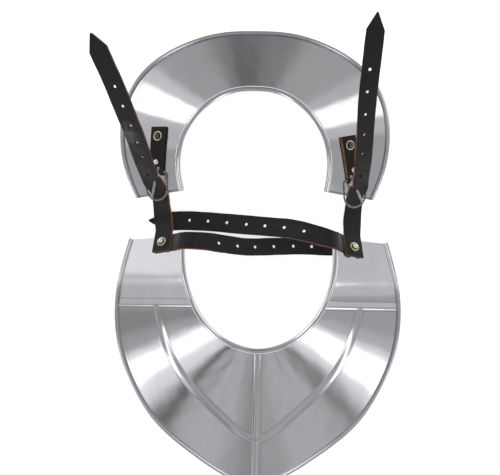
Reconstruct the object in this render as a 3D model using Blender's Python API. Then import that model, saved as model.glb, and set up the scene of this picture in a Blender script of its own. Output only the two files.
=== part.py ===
"""Steel gorget, lying opened flat: two plates, four leather straps, two buckles.

Lengths in the tables are millimetres; MM turns them into metres when a mesh is made.
+Y runs from the front plate's point to the back plate's crown, and +Z is up from the table.
The tables are laid out on the table first; centre_on_footprint then moves the whole
so that the origin lies under the middle of its bounding box.
"""

import math
from collections import namedtuple

import bmesh
import bpy
import numpy as np
from mathutils import Matrix, Vector

MM = 0.001
GAP = 0.3

# Plates
SHEET = 1.2
NECK_BEAD_RADIUS = 3.0
FRONT_RIM_RADIUS = 2.75
BACK_RIM_RADIUS = 2.6
BEAD_FACETS = 8
RIB_HALF_WIDTH = 4.25
RIB_HEIGHT = 2.4
RIB_LINES = (-1.0, -0.5, 0.0, 0.5, 1.0)
BEAD_MARGIN = 5.0
SHARP_DEG = 35

# Leather
# Each strap's width at its riveted end and at its tip
STRAP_WIDTHS = {
    "left": (19.4, 20.0),
    "right": (19.4, 18.2),
    "upper": (19.4, 19.4),
    "lower": (19.1, 16.8),
}
STRAP_THICK = 2.5
STRAP_STEP = 9.0
STRAP_HOLE_RADIUS = 1.6
HOLE_SIDES = 8
HOLE_REACH = 3.0
POINT_LENGTH = 17.0
POINT_WIDTH = 1.6
END_BEYOND_RIVET = 10.5
TAB_WIDTH = 17.5
TAB_THICK = 5.0
TAB_LIFT = 0.6
TAB_STEPS = 3
TAB_FLAT = 4.0
TAB_BEYOND_RIVET = 9.0
CROSS_BEYOND_RIVET = 9.0
CROSS_SEAT = 9.5
CROSS_LIFT = 1.1
STACK_GAP = 0.7
SHOULDER_SEAT = 12.5
BEND_LEAD = 1.5

# Rivets and washers
SHANK_RADIUS = 1.6
RIVET_HOLE_RADIUS = 2.0
RIVET_HOLE_REACH = 9.0
DOME_RADIUS = 2.8
DOME_HEIGHT = 1.7
# The head's outline, as shares of its radius and height
DOME_OUTLINE = ((1.0, 0.0), (0.92, 0.45), (0.62, 0.85), (0.22, 1.0))
TAIL_RADIUS = 3.0
TAIL_THICK = 1.0
TAIL_GAP = 0.7
WASHER_RADIUS = 5.0
WASHER_THICK = 0.9
WASHER_BEVEL = 0.32
RIVET_SIDES = 12

# Buckles
WIRE_RADIUS = 1.2
FRAME_HALF_WIDTH = 12.7
FRAME_CORNER = 3.0
FRAME_ARC_PLACE = 15.8
PRONG_RADIUS = 0.9
PRONG_TIP_RADIUS = 0.55
PRONG_CLEARANCE = 0.6
PRONG_BEYOND_ARC = 1.0
# The prong's hook round the bar, as turns about it from the arc's side
HOOK_DEG = (-35, -80, -125, -170, 145, 110, 80)
PRONG_SHARES = (0.35, 0.7, 1.0)
LOOP_RADIUS = WIRE_RADIUS + GAP + 2.4
LOOP_SIDES = 16
BORE_SIDES = 12
TAB_INTO_LOOP = 0.5
SLOT_WIDTH = 6.4
SLOT_LENGTH = 12.0
SLOT_BEHIND_BAR = 5.0
TUBE_SIDES = 8

# Half of each plate, from its middle line to the end of its arm. neck and outer are the
# centre lines of the two rolled edges, and rib is the curved rib's share of the way out.
PlateRow = namedtuple("PlateRow", "neck_x neck_y neck_z outer_x outer_y outer_z rib")
FRONT_ROWS = [
    PlateRow(0.0, -112.2, 57.0, 0.0, -251.5, 2.75, 0.680),
    PlateRow(11.4, -110.8, 57.5, 57.7, -225.1, 6.0, 0.593),
    PlateRow(23.1, -107.1, 58.5, 106.2, -181.1, 15.0, 0.552),
    PlateRow(39.6, -97.8, 60.0, 125.7, -146.9, 21.5, 0.527),
    PlateRow(53.6, -83.9, 61.5, 136.6, -115.9, 26.0, 0.494),
    PlateRow(64.5, -66.1, 62.0, 141.3, -67.9, 28.0, 0.496),
    PlateRow(72.3, -45.5, 57.0, 139.3, -45.0, 23.0, 0.496),
    PlateRow(76.2, -21.6, 44.0, 134.9, -22.1, 12.5, 0.496),
    PlateRow(76.6, 0.8, 31.0, 130.5, -3.3, 2.75, 0.496),
]
FRONT_RIB_ROW = 5
BACK_ROWS = [
    PlateRow(0.0, 148.9, 38.0, 0.0, 209.8, 2.6, 0.5),
    PlateRow(14.4, 148.0, 38.5, 33.6, 208.0, 3.0, 0.5),
    PlateRow(31.0, 143.1, 40.0, 77.0, 194.2, 5.0, 0.5),
    PlateRow(48.1, 132.1, 43.0, 113.9, 167.5, 8.0, 0.5),
    PlateRow(63.6, 114.0, 46.0, 131.8, 133.9, 11.0, 0.5),
    PlateRow(71.7, 97.3, 46.5, 135.0, 108.8, 12.0, 0.5),
    PlateRow(75.2, 80.5, 44.0, 133.7, 84.8, 11.0, 0.5),
    PlateRow(75.3, 63.4, 38.5, 128.8, 63.3, 7.5, 0.5),
    PlateRow(72.7, 47.4, 31.0, 119.7, 40.3, 2.6, 0.5),
]

# Sections between the middle line and the arm's end, those either side of the arm's rib, and
# the lines across the sheet inside and outside the curved rib
Grid = namedtuple("Grid", "along inner outer")
FRONT_GRID = Grid((12, 6), 2, 2)
BACK_GRID = Grid((20,), 3, 0)

# Where each plate's middle line lies on the table, how the plate is turned there, and how far
# its top leans to the right for each millimetre of height
Place = namedtuple("Place", "middle_x turn_deg lean")
FRONT_PLACE = Place(8.7, -0.95, 0.012)
BACK_PLACE = Place(4.6, -0.5, -0.035)

# A row for each side: where the front rivet goes through the plate, which way the shoulder
# strap runs from it, where the tab's upper rivet is, and which way and how far the lower one lies.
Side = namedtuple("Side", "name front_x front_y front_run tab_x tab_y tab_run tab_gap")
SIDES = [
    Side("left", -86.2, -7.4, (0.13, 0.99), -89.6, 101.4, (-0.07, -1.0), 24.1),
    Side("right", 102.0, -12.6, (-0.10, 0.995), 97.4, 92.6, (0.18, -0.98), 23.2),
]

# How each buckle's bar lies beyond the tab's lower rivet, which way its frame runs from there,
# how far the frame is lifted off the plate, and where the prong crosses the bar and the arc.
Fit = namedtuple("Fit", "bar_gap frame_run lift_deg prong_bar prong_tip")
FITS = {
    "left": Fit(10.8, (0.075, -1.0), 8.0, 1.8, -5.0),
    "right": Fit(11.2, (-0.01, -1.0), 8.0, -3.2, 8.2),
}

# Free stretches of the straps, in the order that each strap runs from its rivet. roll is
# the strap's lean about its own run, positive with its right edge up.
Stop = namedtuple("Stop", "x y z roll")
# In the buckle: along from the bar to the arc, beside, and above the frame's plane.
Pass = namedtuple("Pass", "along beside above")
SHOULDER_LOW = {
    "left": [Stop(-87.4, 12.0, 19.6, 22.0), Stop(-88.4, 20.5, 17.4, 20.0)],
    "right": [Stop(103.4, 7.0, 22.1, -24.0), Stop(103.8, 16.0, 18.2, -17.0)],
}
SHOULDER_PASS = {
    "left": [Pass(28.5, 1.7, -4.8), Pass(21.0, 0.8, -3.4), Pass(14.3, -0.9, 0.0), Pass(7.2, -4.4, 4.6)],
    "right": [Pass(28.5, 0.6, -4.2), Pass(21.0, 0.7, -2.6), Pass(14.3, 1.2, 0.3), Pass(7.2, 3.6, 4.6)],
}
SHOULDER_HIGH = {
    "left": [
        Stop(-102.3, 64.7, 34.2, 26.0),
        Stop(-106.4, 77.2, 45.0, 24.0),
        Stop(-111.2, 93.4, 56.5, 23.0),
        Stop(-116.8, 109.6, 65.5, 22.0),
        Stop(-124.0, 128.1, 72.5, 22.0),
        Stop(-131.1, 146.5, 78.0, 22.0),
        Stop(-141.9, 171.3, 84.0, 22.0),
        Stop(-153.2, 196.5, 89.0, 22.0),
    ],
    "right": [
        Stop(111.0, 62.5, 35.5, -28.0),
        Stop(112.5, 82.0, 49.5, -24.0),
        Stop(113.4, 101.4, 60.0, -24.0),
        Stop(113.8, 120.6, 69.0, -20.0),
        Stop(114.9, 141.7, 77.0, -13.0),
        Stop(116.8, 162.5, 83.5, -6.0),
        Stop(119.4, 189.5, 90.5, -2.0),
        Stop(122.2, 215.6, 96.0, 0.0),
    ],
}
# Each hole's place along its strap, from the end that is riveted
SHOULDER_HOLES = {
    "left": (88.8, 109.4, 126.6, 145.7, 166.5, 187.1),
    "right": (93.0, 118.4, 139.0, 160.0, 182.7, 204.6),
}
# Which way each cross strap runs from its rivet, and how far its middle lies beside the rivet
CROSS_RUN = {"upper": (-0.93, 0.37), "lower": (0.985, 0.17)}
CROSS_ASIDE = {"upper": 1.6, "lower": 0.2}
CROSS_STOPS = {
    "upper": [
        Stop(91.8, -5.1, 31.8, -37.0),
        Stop(88.6, -4.0, 38.2, -32.0),
        Stop(84.6, -2.6, 42.1, -31.0),
        Stop(79.5, -1.1, 42.9, -26.0),
        Stop(70.1, 1.7, 41.5, -17.0),
        Stop(54.2, 6.0, 38.5, -11.0),
        Stop(34.2, 9.7, 33.0, -10.0),
        Stop(12.1, 11.6, 27.0, -9.0),
        Stop(-10.1, 13.5, 21.0, -7.0),
        Stop(-35.7, 15.8, 13.8, -4.0),
        Stop(-58.0, 17.2, 6.8, -1.0),
        Stop(-72.0, 17.4, 2.7, 0.0),
        Stop(-80.5, 17.0, 1.3, 0.0),
        Stop(-86.0, 17.1, 1.2, 0.0),
        Stop(-92.8, 17.2, 1.2, 0.0),
        Stop(-104.2, 17.7, 1.2, 0.0),
    ],
    "lower": [
        Stop(-74.4, -4.2, 34.1, 31.5),
        Stop(-70.1, -3.4, 40.0, 31.0),
        Stop(-66.0, -2.8, 41.7, 30.5),
        Stop(-60.9, -2.8, 42.4, 27.0),
        Stop(-53.6, -3.1, 41.5, 24.0),
        Stop(-40.3, -4.2, 36.8, 20.0),
        Stop(-24.4, -6.8, 30.6, 17.0),
        Stop(-8.4, -9.1, 24.3, 14.0),
        Stop(7.7, -9.6, 18.3, 11.0),
        Stop(27.6, -9.1, 11.3, 6.0),
        Stop(51.3, -8.9, 4.9, 1.5),
        Stop(66.0, -9.4, 2.1, 0.0),
        Stop(74.0, -9.8, 1.3, 0.0),
        Stop(80.0, -10.0, 1.2, 0.0),
        Stop(97.9, -10.3, 1.2, 0.0),
        Stop(123.7, -10.5, 1.2, 0.0),
    ],
}
CROSS_HOLES = {
    "upper": (67.7, 88.4, 108.5, 128.0, 148.6, 168.9, 189.0),
    "lower": (72.9, 93.3, 112.2, 132.6, 153.5, 172.9),
}
# How far each row of holes lies beside its strap's middle
HOLES_ASIDE = {"left": 0.0, "right": -0.9, "upper": 0.4, "lower": 0.0}

# Colour, metallic and roughness of each material
FINISHES = {
    "steel": ((0.62, 0.62, 0.64, 1.0), 1.0, 0.22),
    "leather": ((0.012, 0.011, 0.011, 1.0), 0.0, 0.5),
    "wire": ((0.30, 0.30, 0.30, 1.0), 1.0, 0.35),
    "rivet": ((0.66, 0.66, 0.66, 1.0), 1.0, 0.25),
    "brass": ((0.68, 0.62, 0.42, 1.0), 1.0, 0.32),
}


class Spline:
    """A natural cubic spline through rows of values, one row for each knot."""

    def __init__(self, knots, rows):
        self.knots = np.asarray(knots, float)
        self.rows = np.asarray(rows, float)
        step = np.diff(self.knots)
        slope = np.diff(self.rows, axis=0) / step[:, None]
        system = np.eye(len(self.knots))
        right = np.zeros_like(self.rows)
        for i in range(1, len(self.knots) - 1):
            system[i, i - 1 : i + 2] = step[i - 1], 2 * (step[i - 1] + step[i]), step[i]
            right[i] = 6 * (slope[i] - slope[i - 1])
        self.bend = np.linalg.solve(system, right)

    def at(self, place):
        place = np.asarray(place, float)
        i = np.clip(np.searchsorted(self.knots, place) - 1, 0, len(self.knots) - 2)
        step = (self.knots[i + 1] - self.knots[i])[..., None]
        near = (self.knots[i + 1] - place)[..., None] / step
        far = 1 - near
        curve = (near**3 - near) * self.bend[i] + (far**3 - far) * self.bend[i + 1]
        return near * self.rows[i] + far * self.rows[i + 1] + curve * step**2 / 6


class Course:
    """A smooth line through rows of values that runs straight wherever its knots do."""

    TINY = 1e-9

    def __init__(self, knots, rows):
        self.knots = np.asarray(knots, float)
        self.rows = np.asarray(rows, float)
        slope = np.diff(self.rows, axis=0) / np.diff(self.knots)[:, None]
        first, last = 2 * slope[0] - slope[1], 2 * slope[-1] - slope[-2]
        slope = np.vstack([2 * first - slope[0], first, slope, last, 2 * last - slope[-1]])
        change = np.abs(np.diff(slope, axis=0)) + self.TINY
        before, after = change[:-2], change[2:]
        self.slopes = (after * slope[1:-2] + before * slope[2:-1]) / (before + after)

    def at(self, place):
        place = np.asarray(place, float)
        i = np.clip(np.searchsorted(self.knots, place) - 1, 0, len(self.knots) - 2)
        step = (self.knots[i + 1] - self.knots[i])[..., None]
        far = (place - self.knots[i])[..., None] / step
        near = 1 - far
        curve = near**2 * far * self.slopes[i] - near * far**2 * self.slopes[i + 1]
        ends = near**2 * (1 + 2 * far) * self.rows[i] + far**2 * (1 + 2 * near) * self.rows[i + 1]
        return ends + curve * step


def unit(vectors):
    vectors = np.asarray(vectors, float)
    return vectors / np.linalg.norm(vectors, axis=-1, keepdims=True)


def running_length(points):
    """The length along a line of points, up to each of them."""
    return np.r_[0.0, np.cumsum(np.linalg.norm(np.diff(points, axis=0), axis=1))]


class Plate:
    """A sheet ruled between two rolled edges. s runs along the outer edge in millimetres,
    0 at the middle line, and t runs out from the neck edge, 0 to 1."""

    PROBE = 0.5

    def __init__(self, rows, rim_radius, place):
        half = np.array(rows, float)
        mirror = np.array([-1, 1, 1, -1, 1, 1, 1], float)
        whole = np.vstack([half[:0:-1] * mirror, half])
        knots = running_length(whole[:, 3:6])
        self.knots = knots - knots[len(half) - 1]
        self.middle = len(half) - 1
        self.outer = Spline(self.knots, whole[:, 3:])
        neck_knots = running_length(whole[:, :3])
        neck_knots -= neck_knots[self.middle]
        self.neck = Spline(neck_knots, whole[:, :3])
        self.neck_place = Spline(self.knots, neck_knots[:, None])
        self.lifts = NECK_BEAD_RADIUS - SHEET, rim_radius - SHEET
        self.radii = NECK_BEAD_RADIUS, rim_radius
        self.middle_x = place.middle_x
        turn = math.radians(place.turn_deg)
        self.turn = np.array(
            [[math.cos(turn), -math.sin(turn), place.lean], [math.sin(turn), math.cos(turn), 0], [0, 0, 1]]
        )
        self.ribs = None

    def sheet(self, s, t):
        """The ruled sheet through the centre lines of the two beads, in the plate's own place."""
        s, t = np.broadcast_arrays(np.asarray(s, float), np.asarray(t, float))
        start = self.neck.at(self.neck_place.at(s)[..., 0])
        return start + (self.outer.at(s)[..., :3] - start) * t[..., None]

    def along(self, s, t):
        return (self.sheet(s + self.PROBE, t) - self.sheet(s - self.PROBE, t)) / (2 * self.PROBE)

    def across(self, s, t):
        return self.sheet(s, np.ones_like(t)) - self.sheet(s, np.zeros_like(t))

    def normal(self, s, t):
        normal = unit(np.cross(self.across(s, t), self.along(s, t)))
        return normal * np.sign(normal[..., 2:])

    def top(self, s, t, above=0.0):
        """The plate's upper face without its ribs, or a point above it."""
        s, t = np.broadcast_arrays(np.asarray(s, float), np.asarray(t, float))
        lift = self.lifts[0] * (1 - t) + self.lifts[1] * t
        return self.sheet(s, t) + self.normal(s, t) * (above - lift)[..., None]

    def placed(self, points):
        """Points in the plate's own place, put where the plate lies on the table."""
        return np.asarray(points) @ self.turn.T + [self.middle_x, 0, 0]

    def seat(self, x, y):
        """The upper face's point and normal over a place on the table."""
        s, t = math.copysign(self.knots[-1] * 0.9, x - self.middle_x), 0.5
        for _ in range(12):
            point = self.placed(self.top(s, t))
            grid = [self.placed(self.top(s + 1.0, t)) - point, self.placed(self.top(s, t + 0.01)) - point]
            move = np.linalg.solve(np.array(grid)[:, :2].T, [x - point[0], y - point[1]])
            s, t = s + move[0], t + 0.01 * move[1]
        normal = unit(np.cross(*grid))
        return point, normal * np.sign(normal[2])

    def line_beside(self, anchor, offset, t):
        """The s of a line that keeps `offset` millimetres beside the ruling at `anchor`."""
        start, end = self.sheet(anchor, 0.0), self.sheet(anchor, 1.0)
        run = unit(end[:2] - start[:2])
        s = np.full_like(t, anchor)
        for _ in range(8):
            away = self.sheet(s, t)[:, :2] - start[:2]
            beside = run[0] * away[:, 1] - run[1] * away[:, 0]
            pace = self.along(s, t)[:, :2]
            s = s + (offset - beside) / (run[0] * pace[:, 1] - run[1] * pace[:, 0])
        return s

    def rib_share(self, s):
        """Where the curved rib crosses the ruling at s."""
        return self.outer.at(np.abs(s))[..., 3]

    def rib_slant(self, s):
        """Millimetres across the curved rib for each unit of t."""
        s = np.abs(s)
        share = self.rib_share(s)
        run = self.sheet(s + 1.0, self.rib_share(s + 1.0)) - self.sheet(s - 1.0, self.rib_share(s - 1.0))
        return np.linalg.norm(np.cross(unit(run), self.across(s, share)), axis=-1)

    def rib_height(self, s, t):
        """How far the embossed ribs raise the sheet: the middle, arm and curved ribs."""
        if self.ribs is None:
            return np.zeros_like(t)
        point = self.sheet(s, t)
        start, end = self.sheet(self.ribs, 0.0), self.sheet(self.ribs, 1.0)
        run = unit(end[:2] - start[:2])
        away = np.abs(point[..., 0:1]) * [1, 0] + point[..., 1:2] * [0, 1] - start[:2]
        middle = np.abs(point[..., 0])
        arm = np.abs(run[0] * away[..., 1] - run[1] * away[..., 0])
        curved = np.abs(t - self.rib_share(s)) * self.rib_slant(s)
        curved = np.where(np.abs(s) > self.ribs, RIB_HALF_WIDTH, curved)
        near = np.minimum(np.minimum(middle, arm), curved) / RIB_HALF_WIDTH
        return RIB_HEIGHT * np.clip(1 - near**2, 0, None)


def stations(plate, shares, counts):
    """The s of each section at each t: lines beside the ribs, and even steps between."""
    end = plate.knots[-1]
    if plate.ribs is None:
        half = [np.full_like(shares, end * i / counts[0]) for i in range(counts[0] + 1)]
    else:
        middle = [plate.line_beside(0.0, RIB_HALF_WIDTH * line, shares) for line in RIB_LINES[2:]]
        arm = [plate.line_beside(plate.ribs, RIB_HALF_WIDTH * line, shares) for line in RIB_LINES]
        half = middle
        half += [middle[-1] + (arm[0] - middle[-1]) * i / counts[0] for i in range(1, counts[0])]
        half += arm
        half += [arm[-1] + (end - arm[-1]) * i / counts[1] for i in range(1, counts[1] + 1)]
    return [-line for line in half[:0:-1]] + half


def bead(plate, s, edge):
    """A rolled edge's arc at s, from its lowest point round to where it meets the upper face."""
    radius, lift = plate.radii[edge], plate.lifts[edge]
    t = np.asarray(float(edge))
    centre, normal = plate.sheet(s, t), plate.normal(s, t)
    inward = unit(np.cross(normal, plate.along(s, t)))
    inward *= np.sign(np.dot(inward, plate.across(s, t))) * (1 - 2 * edge)
    foot = math.asin(lift / radius)
    turns = np.linspace(-math.pi / 2, -2 * math.pi - foot, BEAD_FACETS + 1)
    arc = [centre + radius * (math.cos(a) * inward + math.sin(a) * normal) for a in turns]
    return arc, radius * math.cos(foot)


def plate_shares(plate, s, inner, outer):
    """The t of each line across the plate at s, with lines along the curved rib."""
    span = float(np.linalg.norm(plate.across(s, np.asarray(0.5))))
    first, last = BEAD_MARGIN / span, 1 - BEAD_MARGIN / span
    if plate.ribs is None:
        return np.linspace(first, last, inner)
    rib = plate.rib_share(s) + np.array(RIB_LINES) * RIB_HALF_WIDTH / plate.rib_slant(s)
    inside = np.linspace(first, rib[0], inner + 1)[:-1]
    outside = np.linspace(rib[-1], last, outer + 1)[1:]
    return np.r_[inside, rib, outside]


def loft(name, loops):
    """A closed mesh through closed outlines of equal length, capped at both ends."""
    mesh = bmesh.new()
    rings = [[mesh.verts.new(Vector(point) * MM) for point in loop] for loop in loops]
    for near, far in zip(rings, rings[1:]):
        for i, corner in enumerate(near):
            after = (i + 1) % len(near)
            mesh.faces.new((corner, near[after], far[after], far[i]))
    caps = [mesh.faces.new(rings[0][::-1]), mesh.faces.new(rings[-1])]
    bmesh.ops.triangulate(mesh, faces=caps, ngon_method="EAR_CLIP")
    return finish_mesh(name, mesh)


def finish_mesh(name, mesh):
    """Turns the faces outward and makes the object."""
    bmesh.ops.recalc_face_normals(mesh, faces=mesh.faces)
    if mesh.calc_volume(signed=True) < 0:
        bmesh.ops.reverse_faces(mesh, faces=mesh.faces)
    data = bpy.data.meshes.new(name)
    mesh.to_mesh(data)
    mesh.free()
    thing = bpy.data.objects.new(name, data)
    bpy.context.scene.collection.objects.link(thing)
    data.shade_smooth()
    data.set_sharp_from_angle(angle=math.radians(SHARP_DEG))
    return thing


def section(plate, places, wanted):
    """The outline at one station, whose s may differ a little from line to line."""
    neck, _ = bead(plate, places[0], 0)
    outer, _ = bead(plate, places[-1], 1)
    places, shares = places[1:-1], wanted[1:-1]
    raised = plate.rib_height(places, shares)
    upper = plate.top(places, shares, raised)
    under = plate.top(places, shares, raised - SHEET)
    return np.vstack([neck, upper, outer[::-1], under[::-1]])


def build_plate(name, plate, grid):
    s_middle = [float(line[0]) for line in stations(plate, np.array([0.5]), grid.along)]
    loops = []
    for number, s in enumerate(s_middle):
        shares = plate_shares(plate, s, grid.inner, grid.outer)
        wanted = np.r_[0.0, shares, 1.0]
        places = stations(plate, wanted, grid.along)[number]
        loops.append(plate.placed(section(plate, places, wanted)))
    return loft(name, loops)


def tube(name, points, radii, closed, normals):
    """A round wire along points; normals keep its facets from twisting."""
    points, normals = np.asarray(points, float), unit(normals)
    if closed:
        runs = unit(np.roll(points, -1, axis=0) - np.roll(points, 1, axis=0))
    else:
        runs = unit(np.gradient(points, axis=0))
    mesh = bmesh.new()
    rings = []
    for point, run, normal, radius in zip(points, runs, normals, radii):
        side = unit(np.cross(run, normal))
        up = np.cross(side, run)
        ring = []
        for k in range(TUBE_SIDES):
            a = 2 * math.pi * (k + 0.5) / TUBE_SIDES
            place = point + radius * (math.cos(a) * side + math.sin(a) * up)
            ring.append(mesh.verts.new(Vector(place) * MM))
        rings.append(ring)
    pairs = list(zip(rings, rings[1:]))
    if closed:
        pairs.append((rings[-1], rings[0]))
    else:
        mesh.faces.new(rings[0])
        mesh.faces.new(rings[-1])
    for near, far in pairs:
        for k in range(TUBE_SIDES):
            after = (k + 1) % TUBE_SIDES
            mesh.faces.new((near[k], near[after], far[after], far[k]))
    return finish_mesh(name, mesh)


def frame_matrix(point, x_axis, z_axis):
    """A matrix whose origin is point, with its Z along z_axis and X near x_axis."""
    z = unit(z_axis)
    x = unit(np.asarray(x_axis) - z * np.dot(x_axis, z))
    y = np.cross(z, x)
    matrix = Matrix([[*row, 0.0] for row in np.array([x, y, z]).T]).to_4x4()
    matrix.translation = Vector(point) * MM
    return matrix


def turned(name, outline, sides, matrix):
    """A solid of revolution: (radius, height) pairs from the bottom to the top."""
    mesh = bmesh.new()
    rings = []
    for radius, height in outline:
        ring = []
        for k in range(sides):
            a = 2 * math.pi * k / sides
            place = Vector((radius * math.cos(a), radius * math.sin(a), height)) * MM
            ring.append(mesh.verts.new(matrix @ place))
        rings.append(ring)
    for near, far in zip(rings, rings[1:]):
        for k in range(sides):
            after = (k + 1) % sides
            mesh.faces.new((near[k], near[after], far[after], far[k]))
    if outline[0] != outline[-1]:
        mesh.faces.new(rings[0])
        mesh.faces.new(rings[-1])
    else:
        bmesh.ops.remove_doubles(mesh, verts=mesh.verts, dist=1e-7)
    return finish_mesh(name, mesh)


def cut(target, cutters, operation="DIFFERENCE"):
    for cutter in cutters:
        cutter.hide_render = True
        cutter.display_type = "WIRE"
        modifier = target.modifiers.new(cutter.name, "BOOLEAN")
        modifier.operation = operation
        modifier.object = cutter
        modifier.solver = "EXACT"


def drill(name, target, point, normal, radius, reach, sides=HOLE_SIDES):
    """A round hole through target at point, along normal."""
    outline = [(radius, -reach), (radius, reach)]
    matrix = frame_matrix(point, np.cross(normal, [0.0, 1.0, 0.0]), normal)
    cut(target, [turned(name, outline, sides, matrix)])


def drill_rivet(target, rivet, point, normal):
    drill(f"{target.name}_{rivet}", target, point, normal, RIVET_HOLE_RADIUS, RIVET_HOLE_REACH)


class Strip:
    """A flat strip of leather along a smooth line, with its upper normal at each knot."""

    def __init__(self, points, normals=None, rolls=None):
        points = np.array(points, float)
        self.line = Course(running_length(points), points)
        self.length = float(self.line.knots[-1])
        runs = unit(self.line.at(self.line.knots + 0.1) - self.line.at(self.line.knots - 0.1))
        upper = []
        for i, run in enumerate(runs):
            if normals[i] is not None:
                upper.append(np.asarray(normals[i], float))
                continue
            side = unit(np.cross(run, [0.0, 0.0, 1.0]))
            up = np.cross(side, run)
            roll = math.radians(rolls[i])
            upper.append(up * math.cos(roll) - side * math.sin(roll))
        self.upper = Course(self.line.knots, upper)

    def frame(self, place):
        point = self.line.at(place)
        run = unit(self.line.at(place + 0.1) - self.line.at(place - 0.1))
        normal = self.upper.at(place)
        normal = unit(normal - run * np.dot(normal, run))
        return point, run, normal, np.cross(run, normal)


def strip_places(strip, last):
    """Every knot up to `last`, with even steps between those that lie far apart."""
    knots = [*(knot for knot in strip.line.knots if knot < last - 1.0), last]
    places = [0.0]
    for near, far in zip(knots, knots[1:]):
        count = math.ceil((far - near) / STRAP_STEP)
        places.extend(np.linspace(near, far, count + 1)[1:])
    return places


def strip_mesh(name, strip, widths, thick, pointed):
    """The strip's solid, kept above the table; a pointed one tapers to its tip."""
    places = strip_places(strip, strip.length - POINT_LENGTH if pointed else strip.length)
    if pointed:
        places.append(strip.length)
    loops = []
    for place in places:
        point, _, normal, side = strip.frame(place)
        half = np.interp(place, (0.0, strip.length), widths) / 2
        if pointed and place == strip.length:
            half = POINT_WIDTH / 2
        corners = np.array([(-half, -thick / 2), (half, -thick / 2), (half, thick / 2), (-half, thick / 2)])
        loop = point + corners[:, :1] * side + corners[:, 1:] * normal
        loop[:, 2] = np.maximum(loop[:, 2], 0.0)
        loops.append(loop)
    return loft(name, loops)


Buckle = namedtuple("Buckle", "bar across toward normal")


def buckle_frame(buckle, along, beside, above):
    """A point in the buckle: along from bar to arc, beside, above the frame's plane."""
    return buckle.bar + buckle.toward * along + buckle.across * beside + buckle.normal * above


def plan_direction(run, normal):
    """The direction in the plane of normal that runs along `run` seen from above."""
    run = np.array([run[0], run[1], 0.0])
    run[2] = -np.dot(run[:2], normal[:2]) / normal[2]
    return unit(run)


class SideLayout:
    """Where one side's rivets, tab, buckle and shoulder strap lie on the two plates."""

    def __init__(self, side, front, back):
        self.side = side
        self.fit = FITS[side.name]
        self.front_point, self.front_normal = front.seat(side.front_x, side.front_y)
        upper = back.seat(side.tab_x, side.tab_y)
        run = plan_direction(side.tab_run, upper[1])
        along = [side.tab_gap * step / TAB_STEPS for step in range(1, TAB_STEPS + 1)]
        places = [upper[0] + run * step for step in [-TAB_BEYOND_RIVET, *along]]
        seats = [back.seat(place[0], place[1]) for place in places]
        self.tab_seats = [seats[0], upper, *seats[1:]]
        self.tab_rivets = [upper, seats[-1]]
        point, normal = seats[-1]
        flat = plan_direction(self.fit.frame_run, normal)
        bar = point + plan_direction(side.tab_run, normal) * self.fit.bar_gap
        bar = bar + normal * (LOOP_RADIUS + GAP)
        lift = math.radians(self.fit.lift_deg)
        toward = flat * math.cos(lift) + normal * math.sin(lift)
        raised = normal * math.cos(lift) - flat * math.sin(lift)
        across = unit(np.cross(raised, toward))
        self.buckle = Buckle(bar, across * np.sign(across[0]), toward, raised)

    def shoulder_strip(self):
        name = self.side.name
        run = plan_direction(self.side.front_run, self.front_normal)
        seat = self.front_point + self.front_normal * (CROSS_LIFT + STACK_GAP + 1.5 * STRAP_THICK)
        flat = (-END_BEYOND_RIVET, 0.0, SHOULDER_SEAT - BEND_LEAD, SHOULDER_SEAT)
        points = [seat + run * step for step in flat]
        normals = [self.front_normal] * len(flat)
        rolls = [0.0] * len(flat)
        for stop in SHOULDER_LOW[name]:
            points.append((stop.x, stop.y, stop.z))
            normals.append(None)
            rolls.append(stop.roll)
        for step in SHOULDER_PASS[name]:
            points.append(buckle_frame(self.buckle, *step))
            normals.append(self.buckle.normal)
            rolls.append(0.0)
        for stop in SHOULDER_HIGH[name]:
            points.append((stop.x, stop.y, stop.z))
            normals.append(None)
            rolls.append(stop.roll)
        return Strip(points, normals, rolls)


def build_rivet(name, point, normal, stack, washer):
    """A rivet whose head lies on `stack` millimetres of leather, with a washer or without."""
    matrix = frame_matrix(point, (1.0, 0.0, 0.0), normal)
    seat = stack + GAP
    if washer:
        inner = SHANK_RADIUS + GAP
        outline = [
            (inner, seat),
            (WASHER_RADIUS - WASHER_BEVEL, seat),
            (WASHER_RADIUS, seat + WASHER_BEVEL),
            (WASHER_RADIUS - 2 * WASHER_BEVEL, seat + WASHER_THICK),
            (inner, seat + WASHER_THICK),
            (inner, seat),
        ]
        ring = turned(f"washer_{name}", outline, RIVET_SIDES, matrix)
        dress(ring, "brass")
        seat += WASHER_THICK + GAP
    tail = -SHEET - TAIL_GAP
    outline = [
        (TAIL_RADIUS, tail - TAIL_THICK),
        (TAIL_RADIUS, tail),
        (SHANK_RADIUS, tail),
        (SHANK_RADIUS, seat),
    ]
    outline += [(DOME_RADIUS * out, seat + DOME_HEIGHT * up) for out, up in DOME_OUTLINE]
    dress(turned(f"rivet_{name}", outline, RIVET_SIDES, matrix), "rivet")


def build_frame(name, buckle):
    """The D-shaped wire: a straight bar, two sides and a half round arc."""
    half, corner, place = FRAME_HALF_WIDTH, FRAME_CORNER, FRAME_ARC_PLACE
    outline = [(0.0, x) for x in np.linspace(-half + corner, half - corner, 3)]
    for a in np.linspace(0, math.pi / 2, 4)[1:]:
        outline.append((corner - corner * math.cos(a), half - corner + corner * math.sin(a)))
    for a in np.linspace(0, math.pi, 11):
        outline.append((place + half * math.sin(a), half * math.cos(a)))
    for a in np.linspace(0, math.pi / 2, 4)[:-1]:
        outline.append((corner - corner * math.sin(a), -half + corner - corner * math.cos(a)))
    points = [buckle_frame(buckle, along, beside, 0.0) for along, beside in outline]
    radii = [WIRE_RADIUS] * len(points)
    dress(tube(name, points, radii, True, [buckle.normal] * len(points)), "wire")


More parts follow.
